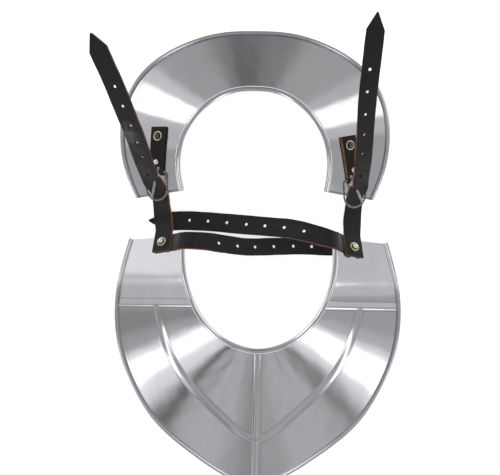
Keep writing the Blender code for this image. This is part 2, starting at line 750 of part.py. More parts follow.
def prong_path(buckle, beside_bar, beside_tip):
    """The prong: hooked round the bar from below, then straight to the arc's top."""
    hook = WIRE_RADIUS + GAP + PRONG_RADIUS
    reach = math.sqrt(FRAME_HALF_WIDTH**2 - beside_tip**2)
    tip = np.array([FRAME_ARC_PLACE + reach + PRONG_BEYOND_ARC, beside_tip, hook])
    steps = [np.array([hook * math.cos(a), beside_bar, hook * math.sin(a)]) for a in np.radians(HOOK_DEG)]
    steps += [steps[-1] + (tip - steps[-1]) * share for share in PRONG_SHARES]
    return [buckle_frame(buckle, *step) for step in steps]


def build_prong(name, buckle, beside_bar, beside_tip):
    points = prong_path(buckle, beside_bar, beside_tip)
    radii = [PRONG_RADIUS] * (len(points) - 1) + [PRONG_TIP_RADIUS]
    normals = [buckle.across] * len(points)
    dress(tube(name, points, radii, False, normals), "wire")
    return points


def build_tab(name, layout):
    """The doubled leather: flat on the plate from its top edge, round the bar at its end."""
    buckle = layout.buckle
    points = [point + normal * (TAB_LIFT + TAB_THICK / 2) for point, normal in layout.tab_seats]
    normals = [normal for _, normal in layout.tab_seats]
    points.append(points[-1] + plan_direction(layout.side.tab_run, normals[-1]) * TAB_FLAT)
    points.append(buckle.bar - buckle.toward * TAB_INTO_LOOP)
    strip = Strip(points, [*normals, normals[-1], normals[-1]])
    tab = dress(strip_mesh(name, strip, (TAB_WIDTH, TAB_WIDTH), TAB_THICK, False), "leather")
    matrix = frame_matrix(buckle.bar, buckle.toward, buckle.across)
    half = TAB_WIDTH / 2
    loop = [(LOOP_RADIUS, -half), (LOOP_RADIUS, half)]
    cut(tab, [turned(f"{name}_loop", loop, LOOP_SIDES, matrix)], "UNION")
    bore = [(WIRE_RADIUS + GAP, -TAB_WIDTH), (WIRE_RADIUS + GAP, TAB_WIDTH)]
    cut(tab, [turned(f"{name}_bore", bore, BORE_SIDES, matrix)])
    beside = layout.fit.prong_bar
    size = (SLOT_LENGTH, 3 * LOOP_RADIUS, SLOT_WIDTH)
    slot = box_cutter(f"{name}_slot", matrix, size, (SLOT_LENGTH / 2 - SLOT_BEHIND_BAR, 0.0, beside))
    cut(tab, [slot])
    return tab


def build_shoulder(name, layout):
    """The shoulder strap, with its row of holes and the one that the prong passes through."""
    strip = layout.shoulder_strip()
    mesh = strip_mesh(f"shoulder_strap_{name}", strip, STRAP_WIDTHS[name], STRAP_THICK, True)
    strap = dress(mesh, "leather")
    fit = layout.fit
    path = build_prong(f"buckle_prong_{name}", layout.buckle, fit.prong_bar, fit.prong_tip)
    run = unit(path[-1] - path[-4])
    cutter_radius = PRONG_RADIUS + PRONG_CLEARANCE
    reach = np.linalg.norm(path[-1] - path[-4]) / 2 + PRONG_RADIUS
    middle = (path[-1] + path[-4]) / 2
    drill(f"{strap.name}_prong_hole", strap, middle, run, cutter_radius, reach)
    for number, place in enumerate(SHOULDER_HOLES[name]):
        point, _, normal, side = strip.frame(place)
        point = point + side * HOLES_ASIDE[name]
        drill(f"{strap.name}_hole_{number}", strap, point, normal, STRAP_HOLE_RADIUS, HOLE_REACH)
    return strap


def cross_strip(which, layout):
    """The line of a cross strap: flat under the shoulder strap's end, then its free stops."""
    run = plan_direction(CROSS_RUN[which], layout.front_normal)
    seat = layout.front_point + layout.front_normal * (CROSS_LIFT + STRAP_THICK / 2)
    seat = seat + np.cross(run, layout.front_normal) * CROSS_ASIDE[which]
    flat = (-CROSS_BEYOND_RIVET, 0.0, CROSS_SEAT - BEND_LEAD, CROSS_SEAT)
    points = [seat + run * step for step in flat]
    normals = [layout.front_normal] * len(flat)
    rolls = [0.0] * len(points)
    for stop in CROSS_STOPS[which]:
        points.append((stop.x, stop.y, stop.z))
        normals.append(None)
        rolls.append(stop.roll)
    return Strip(points, normals, rolls)


def build_cross(name, which, layout):
    """A cross strap with its row of holes."""
    strip = cross_strip(which, layout)
    strap = dress(strip_mesh(name, strip, STRAP_WIDTHS[which], STRAP_THICK, True), "leather")
    for number, place in enumerate(CROSS_HOLES[which]):
        point, _, normal, side = strip.frame(place)
        point = point + side * HOLES_ASIDE[which]
        drill(f"{name}_hole_{number}", strap, point, normal, STRAP_HOLE_RADIUS, HOLE_REACH)
    return strap


def box_cutter(name, matrix, size, centre):
    mesh = bmesh.new()
    bmesh.ops.create_cube(mesh, size=1.0)
    for vert in mesh.verts:
        vert.co = matrix @ (Vector([c + v * w for c, v, w in zip(centre, vert.co, size)]) * MM)
    return finish_mesh(name, mesh)


def dress(thing, finish):
    """Gives an object its own material."""
    colour, metallic, roughness = FINISHES[finish]
    material = bpy.data.materials.new(f"{thing.name}_{finish}")
    material.use_nodes = True
    shader = material.node_tree.nodes["Principled BSDF"]
    shader.inputs["Base Color"].default_value = colour
    shader.inputs["Metallic"].default_value = metallic
    shader.inputs["Roughness"].default_value = roughness
    thing.data.materials.append(material)
    return thing


def centre_on_footprint():
    """Moves everything so that the origin lies under the middle of the bounding box."""
    bpy.context.view_layer.update()
    corners = [
        thing.matrix_world @ Vector(corner)
        for thing in bpy.context.scene.objects
        if not thing.hide_render
        for corner in thing.bound_box
    ]
    low = Vector(min(c[i] for c in corners) for i in range(3))
    high = Vector(max(c[i] for c in corners) for i in range(3))
    shift = Vector((-(low.x + high.x) / 2, -(low.y + high.y) / 2, -low.z))
    for thing in bpy.context.scene.objects:
        thing.location += shift


def main():
    for thing in list(bpy.data.objects):
        bpy.data.objects.remove(thing)

    front = Plate(FRONT_ROWS, FRONT_RIM_RADIUS, FRONT_PLACE)
    front.ribs = front.knots[front.middle + FRONT_RIB_ROW]
    back = Plate(BACK_ROWS, BACK_RIM_RADIUS, BACK_PLACE)
    front_plate = dress(build_plate("front_plate", front, FRONT_GRID), "steel")
    back_plate = dress(build_plate("back_plate", back, BACK_GRID), "steel")

    layouts = {side.name: SideLayout(side, front, back) for side in SIDES}
    crosses = {"left": "lower", "right": "upper"}
    for name, layout in layouts.items():
        point, normal = layout.front_point, layout.front_normal
        cross_name = f"cross_strap_{crosses[name]}"
        cross = build_cross(cross_name, crosses[name], layout)
        shoulder = build_shoulder(name, layout)
        for target in (front_plate, cross, shoulder):
            drill_rivet(target, f"front_{name}", point, normal)
        build_rivet(f"front_{name}", point, normal, CROSS_LIFT + STACK_GAP + 2 * STRAP_THICK, True)
        tab = build_tab(f"buckle_tab_{name}", layout)
        for level, (point, normal) in zip(("upper", "lower"), layout.tab_rivets):
            for target in (back_plate, tab):
                drill_rivet(target, f"tab_{name}_{level}", point, normal)
            build_rivet(f"tab_{name}_{level}", point, normal, TAB_LIFT + TAB_THICK, level == "upper")
        build_frame(f"buckle_frame_{name}", layout.buckle)
    centre_on_footprint()


main()
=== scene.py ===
import math
from collections import namedtuple

import bmesh
import bpy
import numpy as np
from mathutils import Matrix, Vector


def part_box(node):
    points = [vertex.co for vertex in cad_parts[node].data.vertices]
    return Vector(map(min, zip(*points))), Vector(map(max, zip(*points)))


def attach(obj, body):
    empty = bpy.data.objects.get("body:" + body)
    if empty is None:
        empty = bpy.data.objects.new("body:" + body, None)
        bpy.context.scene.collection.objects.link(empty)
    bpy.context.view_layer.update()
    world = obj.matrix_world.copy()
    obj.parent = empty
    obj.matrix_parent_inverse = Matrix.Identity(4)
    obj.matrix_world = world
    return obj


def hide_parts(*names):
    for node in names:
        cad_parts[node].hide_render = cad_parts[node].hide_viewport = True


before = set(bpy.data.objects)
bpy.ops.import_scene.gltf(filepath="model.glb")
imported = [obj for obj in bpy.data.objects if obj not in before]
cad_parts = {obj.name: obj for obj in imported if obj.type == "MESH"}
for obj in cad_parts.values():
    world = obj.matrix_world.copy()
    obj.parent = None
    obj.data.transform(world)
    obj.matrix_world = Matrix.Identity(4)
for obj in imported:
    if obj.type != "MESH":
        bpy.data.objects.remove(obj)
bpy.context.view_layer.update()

# The tables below are laid out on the table in millimetres, as in the part's source; SHIFT
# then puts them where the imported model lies.
MM = 0.001
GAP = 0.3
# Edges that bend by more than this stay sharp
SHARP_DEG = 40

# Plates
SHEET = 1.2
NECK_BEAD_RADIUS = 3.0
FRONT_RIM_RADIUS = 2.75
BACK_RIM_RADIUS = 2.6
BEAD_FACETS = 22
RIB_HALF_WIDTH = 4.25
RIB_HEIGHT = 0.52
CROSS_RIB_HEIGHT = 0.85
# The cross ribs' crest lies off their middle, by this share of their half width
CROSS_RIB_CREST = 0.25
# Section lines beside a rib, in half rib widths, and beside each bead, in millimetres
RIB_OFFSETS = (0.0, 0.16, 0.32, 0.48, 0.62, 0.75, 0.86, 0.94, 1.0, 1.06, 1.14, 1.26)
BEAD_LINES = (2.5, 2.75, 3.0, 3.35, 3.8, 4.4, 5.2, 6.2)
# The outer beads are rolled tighter than in the part's source, and stand a little further out
TIGHT_RADIUS = 2.0
TIGHT_OUT = 1.2
TIGHT_LINES = (0.6, 0.8, 1.05, 1.4, 1.9, 2.6, 3.8, 6.2)
# A groove beside a rib or a bead: how far away and how wide, in half rib widths beside a rib and
# in millimetres beside a bead, and how deep
Groove = namedtuple("Groove", "away width deep")
RIB_GROOVE = Groove(1.06, 0.07, 0.04)
BEAD_GROOVES = (Groove(2.8, 0.4, 0.12), Groove(5.0, 0.7, 0.03))
# The outer beads' grooves lie this much nearer to the edge
TIGHT_GROOVE_SHIFT = 2.2
# Where painted shade darkens the steel in the creases beside the ribs, the neck bead and the outer bead,
# and how wide it is
RIB_CREASE_SHADE = (1.05, 0.10)
NECK_CREASE_SHADE = (2.7, 0.45)
RIM_CREASE_SHADE = (0.4, 0.4)
# Planishing fades out this near to an edge
CALM_MARGIN = 12.0

# Leather
# Each strap's width at its riveted end and at its tip
STRAP_WIDTHS = {
    "left": (19.4, 20.0),
    "right": (19.4, 18.2),
    "upper": (19.4, 19.4),
    "lower": (19.1, 16.8),
}
STRAP_THICK = 2.5
STRAP_HOLE_RADIUS = 1.6
POINT_LENGTH = 17.0
POINT_WIDTH = 1.6
RAW_SLANT = 0.35
EDGE_EASE = 0.12
END_BEYOND_RIVET = 10.5
TAB_WIDTH = 17.5
TAB_THICK = 5.0
TAB_LAYER = 2.3
TAB_LIFT = 0.6
TAB_STEPS = 3
TAB_FLAT = 4.0
TAB_BEYOND_RIVET = 9.0
# How far the right tab's upper face is cut back from its slanted raw side, and from which share of
# the way between its fold and its ends
TAB_CUT_BACK = 1.0
TAB_RAW_FROM = 0.15
# How the doubled leather is drawn: its sections' spacing and its fold, and its uneven sides
TAB_SPACING = 1.4
TAB_FOLD_DEG = 75
TAB_SMOOTHING = 5
TAB_SIDE_EASE = 0.15
TAB_SIDE_WAVER = 0.12
TAB_SIDE_WAVE = 7.0
TAB_NARROWING = 0.5
CROSS_BEYOND_RIVET = 9.0
CROSS_SEAT = 9.5
CROSS_LIFT = 1.1
STACK_GAP = 0.7
SHOULDER_SEAT = 12.5
BEND_LEAD = 1.5

# Rivets and washers
SHANK_RADIUS = 1.6
RIVET_HOLE_RADIUS = 2.0
TAIL_RADIUS = 3.0
TAIL_THICK = 1.0
TAIL_GAP = 0.7
# The part's washer is widest this far above its seat
WASHER_WIDEST = 0.32
# The washer's visible profile, as (radius, height above its seat), and where the painted shade of its cup
# begins
WASHER_RIM = ((4.6, 0.0), (4.8, 0.15), (4.87, 0.4), (4.75, 0.72), (4.45, 0.92), (4.1, 0.97))
WASHER_CUP = ((3.75, 0.88), (3.5, 0.66), (3.4, 0.36))
WASHER_FLOOR = 0.3
WASHER_SHADE_RADIUS = 3.42
WASHER_SHARP_DEG = 70
# The rivet's head is a low dome on a short stem, which stands taller on the front rivets
HEAD_ON_WASHER = 0.4
HEAD_STEM = ((2.35, 0.0), (2.5, 0.25))
HEAD_EDGE_RADIUS = 2.55
HEAD_RADIUS = 2.6
HEAD_HEIGHT = 2.0
FRONT_HEAD_RISE = 1.25
TAB_HEAD_RISE = 0.35
HEAD_DEG = (14, 28, 42, 56, 70, 82)

# Buckles
WIRE_RADIUS = 1.2
FRAME_HALF_WIDTH = 12.7
FRAME_CORNER = 3.0
FRAME_ARC_PLACE = 15.8
PRONG_RADIUS = 0.9
PRONG_CLEARANCE = 0.6
PRONG_BEYOND_ARC = 1.0
PRONG_STEPS = 16
PRONG_SWELL = 0.55
PRONG_HALF_HEIGHT = 0.85
PRONG_TIP_SIZE = (0.45, 0.4)
HOOK_DEG = (-35, -57, -80, -102, -125, -147, -170, 167, 145, 127, 110, 95, 80)
LOOP_RADIUS = WIRE_RADIUS + GAP + 2.4
SLOT_WIDTH = 6.4
SLOT_LENGTH = 12.0
SLOT_BEHIND_BAR = 5.0
# The wire's visible surface lies this far inside its stock radius
WIRE_WORN = 0.2

# The photo's view: straight down, in pixels and metres
IMAGE_WIDTH = 500
FOCAL_LENGTH = 1260
CAMERA_HEIGHT = 1.3
SENSOR_WIDTH = 36.0

PlateRow = namedtuple("PlateRow", "neck_x neck_y neck_z outer_x outer_y outer_z rib")
FRONT_ROWS = [
    PlateRow(0.0, -112.2, 57.0, 0.0, -251.5, 2.75, 0.680),
    PlateRow(11.4, -110.8, 57.5, 57.7, -225.1, 6.0, 0.593),
    PlateRow(23.1, -107.1, 58.5, 106.2, -181.1, 15.0, 0.552),
    PlateRow(39.6, -97.8, 60.0, 125.7, -146.9, 21.5, 0.527),
    PlateRow(53.6, -83.9, 61.5, 136.6, -115.9, 26.0, 0.494),
    PlateRow(64.5, -66.1, 62.0, 141.3, -67.9, 28.0, 0.496),
    PlateRow(72.3, -45.5, 57.0, 139.3, -45.0, 23.0, 0.496),
    PlateRow(76.2, -21.6, 44.0, 134.9, -22.1, 12.5, 0.496),
    PlateRow(76.6, 0.8, 31.0, 130.5, -3.3, 2.75, 0.496),
]
FRONT_RIB_ROW = 5
BACK_ROWS = [
    PlateRow(0.0, 148.9, 38.0, 0.0, 209.8, 2.6, 0.5),
    PlateRow(14.4, 148.0, 38.5, 33.6, 208.0, 3.0, 0.5),
    PlateRow(31.0, 143.1, 40.0, 77.0, 194.2, 5.0, 0.5),
    PlateRow(48.1, 132.1, 43.0, 113.9, 167.5, 8.0, 0.5),
    PlateRow(63.6, 114.0, 46.0, 131.8, 133.9, 11.0, 0.5),
    PlateRow(71.7, 97.3, 46.5, 135.0, 108.8, 12.0, 0.5),
    PlateRow(75.2, 80.5, 44.0, 133.7, 84.8, 11.0, 0.5),
    PlateRow(75.3, 63.4, 38.5, 128.8, 63.3, 7.5, 0.5),
    PlateRow(72.7, 47.4, 31.0, 119.7, 40.3, 2.6, 0.5),
]
Grid = namedtuple("Grid", "along inner outer")
FRONT_GRID = Grid((64, 30), 14, 14)
BACK_GRID = Grid((120,), 24, 0)

Place = namedtuple("Place", "middle_x turn_deg lean")
FRONT_PLACE = Place(8.7, -0.95, 0.012)
BACK_PLACE = Place(4.6, -0.5, -0.035)

Side = namedtuple("Side", "name front_x front_y front_run tab_x tab_y tab_run tab_gap")
SIDES = [
    Side("left", -86.2, -7.4, (0.13, 0.99), -89.6, 101.4, (-0.07, -1.0), 24.1),
    Side("right", 102.0, -12.6, (-0.10, 0.995), 97.4, 92.6, (0.18, -0.98), 23.2),
]
Fit = namedtuple("Fit", "bar_gap frame_run lift_deg prong_bar prong_tip")
FITS = {
    "left": Fit(10.8, (0.075, -1.0), 8.0, 1.8, -5.0),
    "right": Fit(11.2, (-0.01, -1.0), 8.0, -3.2, 8.2),
}
Stop = namedtuple("Stop", "x y z roll")
Pass = namedtuple("Pass", "along beside above")
SHOULDER_LOW = {
    "left": [Stop(-87.4, 12.0, 19.6, 22.0), Stop(-88.4, 20.5, 17.4, 20.0)],
    "right": [Stop(103.4, 7.0, 22.1, -24.0), Stop(103.8, 16.0, 18.2, -17.0)],
}
SHOULDER_PASS = {
    "left": [Pass(28.5, 1.7, -4.8), Pass(21.0, 0.8, -3.4), Pass(14.3, -0.9, 0.0), Pass(7.2, -4.4, 4.6)],
    "right": [Pass(28.5, 0.6, -4.2), Pass(21.0, 0.7, -2.6), Pass(14.3, 1.2, 0.3), Pass(7.2, 3.6, 4.6)],
}
SHOULDER_HIGH = {
    "left": [
        Stop(-102.3, 64.7, 34.2, 26.0),
        Stop(-106.4, 77.2, 45.0, 24.0),
        Stop(-111.2, 93.4, 56.5, 23.0),
        Stop(-116.8, 109.6, 65.5, 22.0),
        Stop(-124.0, 128.1, 72.5, 22.0),
        Stop(-131.1, 146.5, 78.0, 22.0),
        Stop(-141.9, 171.3, 84.0, 22.0),
        Stop(-153.2, 196.5, 89.0, 22.0),
    ],
    "right": [
        Stop(111.0, 62.5, 35.5, -28.0),
        Stop(112.5, 82.0, 49.5, -24.0),
        Stop(113.4, 101.4, 60.0, -24.0),
        Stop(113.8, 120.6, 69.0, -20.0),
        Stop(114.9, 141.7, 77.0, -13.0),
        Stop(116.8, 162.5, 83.5, -6.0),
        Stop(119.4, 189.5, 90.5, -2.0),
        Stop(122.2, 215.6, 96.0, 0.0),
    ],
}
SHOULDER_HOLES = {
    "left": (88.8, 109.4, 126.6, 145.7, 166.5, 187.1),
    "right": (93.0, 118.4, 139.0, 160.0, 182.7, 204.6),
}
CROSS_RUN = {"upper": (-0.93, 0.37), "lower": (0.985, 0.17)}
CROSS_ASIDE = {"upper": 1.6, "lower": 0.2}
CROSS_OF_SIDE = {"left": "lower", "right": "upper"}
CROSS_STOPS = {
    "upper": [
        Stop(91.8, -5.1, 31.8, -37.0),
        Stop(88.6, -4.0, 38.2, -32.0),
        Stop(84.6, -2.6, 42.1, -31.0),
        Stop(79.5, -1.1, 42.9, -26.0),
        Stop(70.1, 1.7, 41.5, -17.0),
        Stop(54.2, 6.0, 38.5, -11.0),
        Stop(34.2, 9.7, 33.0, -10.0),
        Stop(12.1, 11.6, 27.0, -9.0),
        Stop(-10.1, 13.5, 21.0, -7.0),
        Stop(-35.7, 15.8, 13.8, -4.0),
        Stop(-58.0, 17.2, 6.8, -1.0),
        Stop(-72.0, 17.4, 2.7, 0.0),
        Stop(-80.5, 17.0, 1.3, 0.0),
        Stop(-86.0, 17.1, 1.2, 0.0),
        Stop(-92.8, 17.2, 1.2, 0.0),
        Stop(-104.2, 17.7, 1.2, 0.0),
    ],
    "lower": [
        Stop(-74.4, -4.2, 34.1, 31.5),
        Stop(-70.1, -3.4, 40.0, 31.0),
        Stop(-66.0, -2.8, 41.7, 30.5),
        Stop(-60.9, -2.8, 42.4, 27.0),
        Stop(-53.6, -3.1, 41.5, 24.0),
        Stop(-40.3, -4.2, 36.8, 20.0),
        Stop(-24.4, -6.8, 30.6, 17.0),
        Stop(-8.4, -9.1, 24.3, 14.0),
        Stop(7.7, -9.6, 18.3, 11.0),
        Stop(27.6, -9.1, 11.3, 6.0),
        Stop(51.3, -8.9, 4.9, 1.5),
        Stop(66.0, -9.4, 2.1, 0.0),
        Stop(74.0, -9.8, 1.3, 0.0),
        Stop(80.0, -10.0, 1.2, 0.0),
        Stop(97.9, -10.3, 1.2, 0.0),
        Stop(123.7, -10.5, 1.2, 0.0),
    ],
}
CROSS_HOLES = {
    "upper": (67.7, 88.4, 108.5, 128.0, 148.6, 168.9, 189.0),
    "lower": (72.9, 93.3, 112.2, 132.6, 153.5, 172.9),
}
HOLES_ASIDE = {"left": 0.0, "right": -0.9, "upper": 0.4, "lower": 0.0}


class Spline:
    """A natural cubic spline through rows of values, one row for each knot."""

    def __init__(self, knots, rows):
        self.knots = np.asarray(knots, float)
        self.rows = np.asarray(rows, float)
        step = np.diff(self.knots)
        slope = np.diff(self.rows, axis=0) / step[:, None]
        system = np.eye(len(self.knots))
        right = np.zeros_like(self.rows)
        for i in range(1, len(self.knots) - 1):
            system[i, i - 1 : i + 2] = step[i - 1], 2 * (step[i - 1] + step[i]), step[i]
            right[i] = 6 * (slope[i] - slope[i - 1])
        self.bend = np.linalg.solve(system, right)

    def at(self, place):
        place = np.asarray(place, float)
        i = np.clip(np.searchsorted(self.knots, place) - 1, 0, len(self.knots) - 2)
        step = (self.knots[i + 1] - self.knots[i])[..., None]
        near = (self.knots[i + 1] - place)[..., None] / step
        far = 1 - near
        curve = (near**3 - near) * self.bend[i] + (far**3 - far) * self.bend[i + 1]
        return near * self.rows[i] + far * self.rows[i + 1] + curve * step**2 / 6


class Course:
    """A smooth line through rows of values that runs straight wherever its knots do."""

    TINY = 1e-9

    def __init__(self, knots, rows):
        self.knots = np.asarray(knots, float)
        self.rows = np.asarray(rows, float)
        slope = np.diff(self.rows, axis=0) / np.diff(self.knots)[:, None]
        first, last = 2 * slope[0] - slope[1], 2 * slope[-1] - slope[-2]
        slope = np.vstack([2 * first - slope[0], first, slope, last, 2 * last - slope[-1]])
        change = np.abs(np.diff(slope, axis=0)) + self.TINY
        before, after = change[:-2], change[2:]
        self.slopes = (after * slope[1:-2] + before * slope[2:-1]) / (before + after)

    def at(self, place):
        place = np.asarray(place, float)
        i = np.clip(np.searchsorted(self.knots, place) - 1, 0, len(self.knots) - 2)
        step = (self.knots[i + 1] - self.knots[i])[..., None]
        far = (place - self.knots[i])[..., None] / step
        near = 1 - far
        curve = near**2 * far * self.slopes[i] - near * far**2 * self.slopes[i + 1]
        ends = near**2 * (1 + 2 * far) * self.rows[i] + far**2 * (1 + 2 * near) * self.rows[i + 1]
        return ends + curve * step


def unit(vectors):
    vectors = np.asarray(vectors, float)
    return vectors / np.linalg.norm(vectors, axis=-1, keepdims=True)


def running_length(points):
    """The length along a line of points, up to each of them."""
    return np.r_[0.0, np.cumsum(np.linalg.norm(np.diff(points, axis=0), axis=1))]


def hump(value, middle, width):
    """A smooth bump of height 1 at middle."""
    return np.exp(-(((value - middle) / width) ** 2))


class Plate:
    """A sheet ruled between two rolled edges. s runs along the outer edge in millimetres,
    0 at the middle line, and t runs out from the neck edge, 0 to 1."""

    PROBE = 0.5
    # Hand planishing: height in mm, waves along and across in mm, and a phase
    WAVES = [
        (0.05, 83, 0.2, 0.3),
        (0.025, 47, -0.3, 2.0),
        (0.010, 29, 0.9, 4.1),
        (0.004, 17, -1.3, 1.2),
    ]

    def __init__(self, rows, rim_radius, place):
        half = np.array(rows, float)
        mirror = np.array([-1, 1, 1, -1, 1, 1, 1], float)
        whole = np.vstack([half[:0:-1] * mirror, half])
        knots = running_length(whole[:, 3:6])
        self.knots = knots - knots[len(half) - 1]
        self.middle = len(half) - 1
        self.outer = Spline(self.knots, whole[:, 3:])
        neck_knots = running_length(whole[:, :3])
        neck_knots -= neck_knots[self.middle]
        self.neck = Spline(neck_knots, whole[:, :3])
        self.neck_place = Spline(self.knots, neck_knots[:, None])
        self.rib_line = Spline(self.knots[self.middle :], half[:, 6:])
        self.lifts = NECK_BEAD_RADIUS - SHEET, rim_radius - SHEET
        self.radii = NECK_BEAD_RADIUS, rim_radius
        self.middle_x = place.middle_x
        turn = math.radians(place.turn_deg)
        cos, sin = math.cos(turn), math.sin(turn)
        self.turn = np.array([[cos, -sin, place.lean], [sin, cos, 0], [0, 0, 1]])
        self.ribs = None

    def sheet(self, s, t):
        """A point between the two edges' centre lines."""
        s, t = np.broadcast_arrays(np.asarray(s, float), np.asarray(t, float))
        start = self.neck.at(self.neck_place.at(s)[..., 0])
        return start + (self.outer.at(s)[..., :3] - start) * t[..., None]

    def along(self, s, t):
        return (self.sheet(s + self.PROBE, t) - self.sheet(s - self.PROBE, t)) / (2 * self.PROBE)

    def across(self, s, t):
        return self.sheet(s, np.ones_like(t)) - self.sheet(s, np.zeros_like(t))

    def normal(self, s, t):
        normal = unit(np.cross(self.across(s, t), self.along(s, t)))
        return normal * np.sign(normal[..., 2:])

    def unwind(self, s, t):
        """The turn that gives a place the normal of its ruling's middle, as in a rolled sheet."""
        turn = np.cross(self.normal(s, t), self.normal(s, np.full_like(t, 0.5)))
        return turn @ self.turn.T

    def top(self, s, t, above=0.0):
        """The sheet's upper face, or a place above it."""
        s, t = np.broadcast_arrays(np.asarray(s, float), np.asarray(t, float))
        lift = self.lifts[0] * (1 - t) + self.lifts[1] * t
        return self.sheet(s, t) + self.normal(s, t) * (above - lift)[..., None]

    def placed(self, points):
        """Points of the even plate, turned and moved to where it lies."""
        return np.asarray(points) @ self.turn.T + [self.middle_x, 0, 0]

    def seat(self, x, y):
        """The upper face's point and normal over a place on the table."""
        s, t = math.copysign(self.knots[-1] * 0.9, x - self.middle_x), 0.5
        for _ in range(12):
            point = self.placed(self.top(s, t))
            grid = [self.placed(self.top(*near)) - point for near in ((s + 1.0, t), (s, t + 0.01))]
            move = np.linalg.solve(np.array(grid)[:, :2].T, [x - point[0], y - point[1]])
            s, t = s + move[0], t + 0.01 * move[1]
        normal = unit(np.cross(*grid))
        return point, normal * np.sign(normal[2])

    def line_beside(self, anchor, offset, t):
        """The s at each t of a line beside the ruling at anchor."""
        start, end = self.sheet(anchor, 0.0), self.sheet(anchor, 1.0)
        run = unit(end[:2] - start[:2])
        s = np.full_like(t, anchor)
        for _ in range(8):
            away = self.sheet(s, t)[:, :2] - start[:2]
            beside = run[0] * away[:, 1] - run[1] * away[:, 0]
            pace = self.along(s, t)[:, :2]
            s = s + (offset - beside) / (run[0] * pace[:, 1] - run[1] * pace[:, 0])
        return s

    def rib_share(self, s):
        """Where the curved rib crosses the ruling at s."""
        return self.rib_line.at(np.abs(s))[..., 0]

    def rib_slant(self, s):
        """Millimetres across the curved rib for each unit of t."""
        s = np.abs(s)
        before, after = (self.sheet(near, self.rib_share(near)) for near in (s - 1.0, s + 1.0))
        run = unit(after - before)
        return np.linalg.norm(np.cross(run, self.across(s, self.rib_share(s))), axis=-1)

    def rib_offsets(self, s, t):
        """How far each place is from the middle rib, the nearer arm's cross rib and the curved rib,
        in half rib widths, and positive towards the front plate's point from a cross rib."""
        point = self.sheet(s, t)
        start, end = self.sheet(self.ribs, 0.0), self.sheet(self.ribs, 1.0)
        run = unit(end[:2] - start[:2])
        away = np.abs(point[..., 0:1]) * [1, 0] + point[..., 1:2] * [0, 1] - start[:2]
        middle = np.abs(point[..., 0])
        arm = run[1] * away[..., 0] - run[0] * away[..., 1]
        curved = np.abs(t - self.rib_share(s)) * self.rib_slant(s)
        curved = np.where(np.abs(s) > self.ribs, 9 * RIB_HALF_WIDTH, curved)
        return middle / RIB_HALF_WIDTH, arm / RIB_HALF_WIDTH, curved / RIB_HALF_WIDTH

    def relief(self, s, t):
        """The ribs, the creases along them and the beads, and the hand planishing, with the painted shade
        that darkens these creases.
        """
        span = np.linalg.norm(self.across(s, t), axis=-1)
        inside, outside = t * span, (1 - t) * span
        near, height = np.full_like(t, 9.0), np.zeros_like(t)
        if self.ribs is not None:
            middle, arm, curved = self.rib_offsets(s, t)
            near = np.minimum(np.minimum(middle, np.abs(arm)), curved)
            for away in (middle, curved):
                height = np.maximum(height, RIB_HEIGHT * np.clip(1 - away**2, 0, None) ** 2)
            rise = np.clip((arm + 1) / (1 + CROSS_RIB_CREST), 0, 1)
            fall = np.clip((1 - arm) / (1 - CROSS_RIB_CREST), 0, 1)
            crest = np.minimum(rise, fall * fall * (3 - 2 * fall))
            height = np.maximum(height, CROSS_RIB_HEIGHT * crest)
        height -= RIB_GROOVE.deep * hump(near, RIB_GROOVE.away, RIB_GROOVE.width)
        for away in (inside, outside + TIGHT_GROOVE_SHIFT):
            height -= sum(groove.deep * hump(away, groove.away, groove.width) for groove in BEAD_GROOVES)
        calm = np.clip(np.minimum(inside, outside) / CALM_MARGIN, 0, 1)
        for tall, length, slope, phase in self.WAVES:
            height += tall * calm * np.sin(2 * math.pi * (s + slope * t * span) / length + phase)
        crease = hump(near, *RIB_CREASE_SHADE) + hump(inside, *NECK_CREASE_SHADE) + hump(outside, *RIM_CREASE_SHADE)
        return height, np.clip(crease, 0, 1)


def stations(plate, shares, counts):
    """The s of each section at each t: lines beside the ribs, and even steps between."""
    end = plate.knots[-1]
    if plate.ribs is None:
        half = [np.full_like(shares, end * i / counts[0]) for i in range(counts[0] + 1)]
    else:
        full = [-o for o in RIB_OFFSETS[:0:-1]] + list(RIB_OFFSETS)
        middle = [plate.line_beside(0.0, RIB_HALF_WIDTH * line, shares) for line in RIB_OFFSETS]
        arm = [plate.line_beside(plate.ribs, RIB_HALF_WIDTH * line, shares) for line in full]
        half = middle
        half += [middle[-1] + (arm[0] - middle[-1]) * i / counts[0] for i in range(1, counts[0])]
        half += arm
        half += [arm[-1] + (end - arm[-1]) * i / counts[1] for i in range(1, counts[1] + 1)]
    return [-line for line in half[:0:-1]] + half


def bead(plate, s, edge):
    """The bead's outline round a place on one edge, from its underside to its foot."""
    radius = TIGHT_RADIUS if edge else plate.radii[edge]
    t = np.asarray(float(edge))
    centre, normal = plate.sheet(s, t), plate.normal(s, t)
    inward = unit(np.cross(normal, plate.along(s, t)))
    inward *= np.sign(np.dot(inward, plate.across(s, t))) * (1 - 2 * edge)
    if edge:
        tighter = plate.radii[edge] - radius
        centre = centre - tighter * (normal + inward) - TIGHT_OUT * inward * [1, 1, 0]
    foot = math.asin((radius - SHEET) / radius)
    turns = np.linspace(-math.pi / 2, -2 * math.pi - foot, BEAD_FACETS + 1)
    return [centre + radius * (math.cos(a) * inward + math.sin(a) * normal) for a in turns]


def plate_shares(plate, s, grid):
    """The t of each line across the sheet."""
    span = float(np.linalg.norm(plate.across(s, np.asarray(0.5))))
    near, far = np.array(BEAD_LINES) / span, np.array(TIGHT_LINES[::-1]) / span
    if plate.ribs is None:
        middle = np.linspace(near[-1], 1 - far[0], grid.inner)[1:-1]
    else:
        full = np.r_[-np.array(RIB_OFFSETS[:0:-1]), RIB_OFFSETS]
        rib = plate.rib_share(s) + full * RIB_HALF_WIDTH / plate.rib_slant(s)
        inside = np.linspace(near[-1], rib[0], grid.inner + 1)[1:-1]
        outside = np.linspace(rib[-1], 1 - far[0], grid.outer + 1)[1:-1]
        middle = np.r_[inside, rib, outside]
    return np.r_[near, middle, 1 - far]


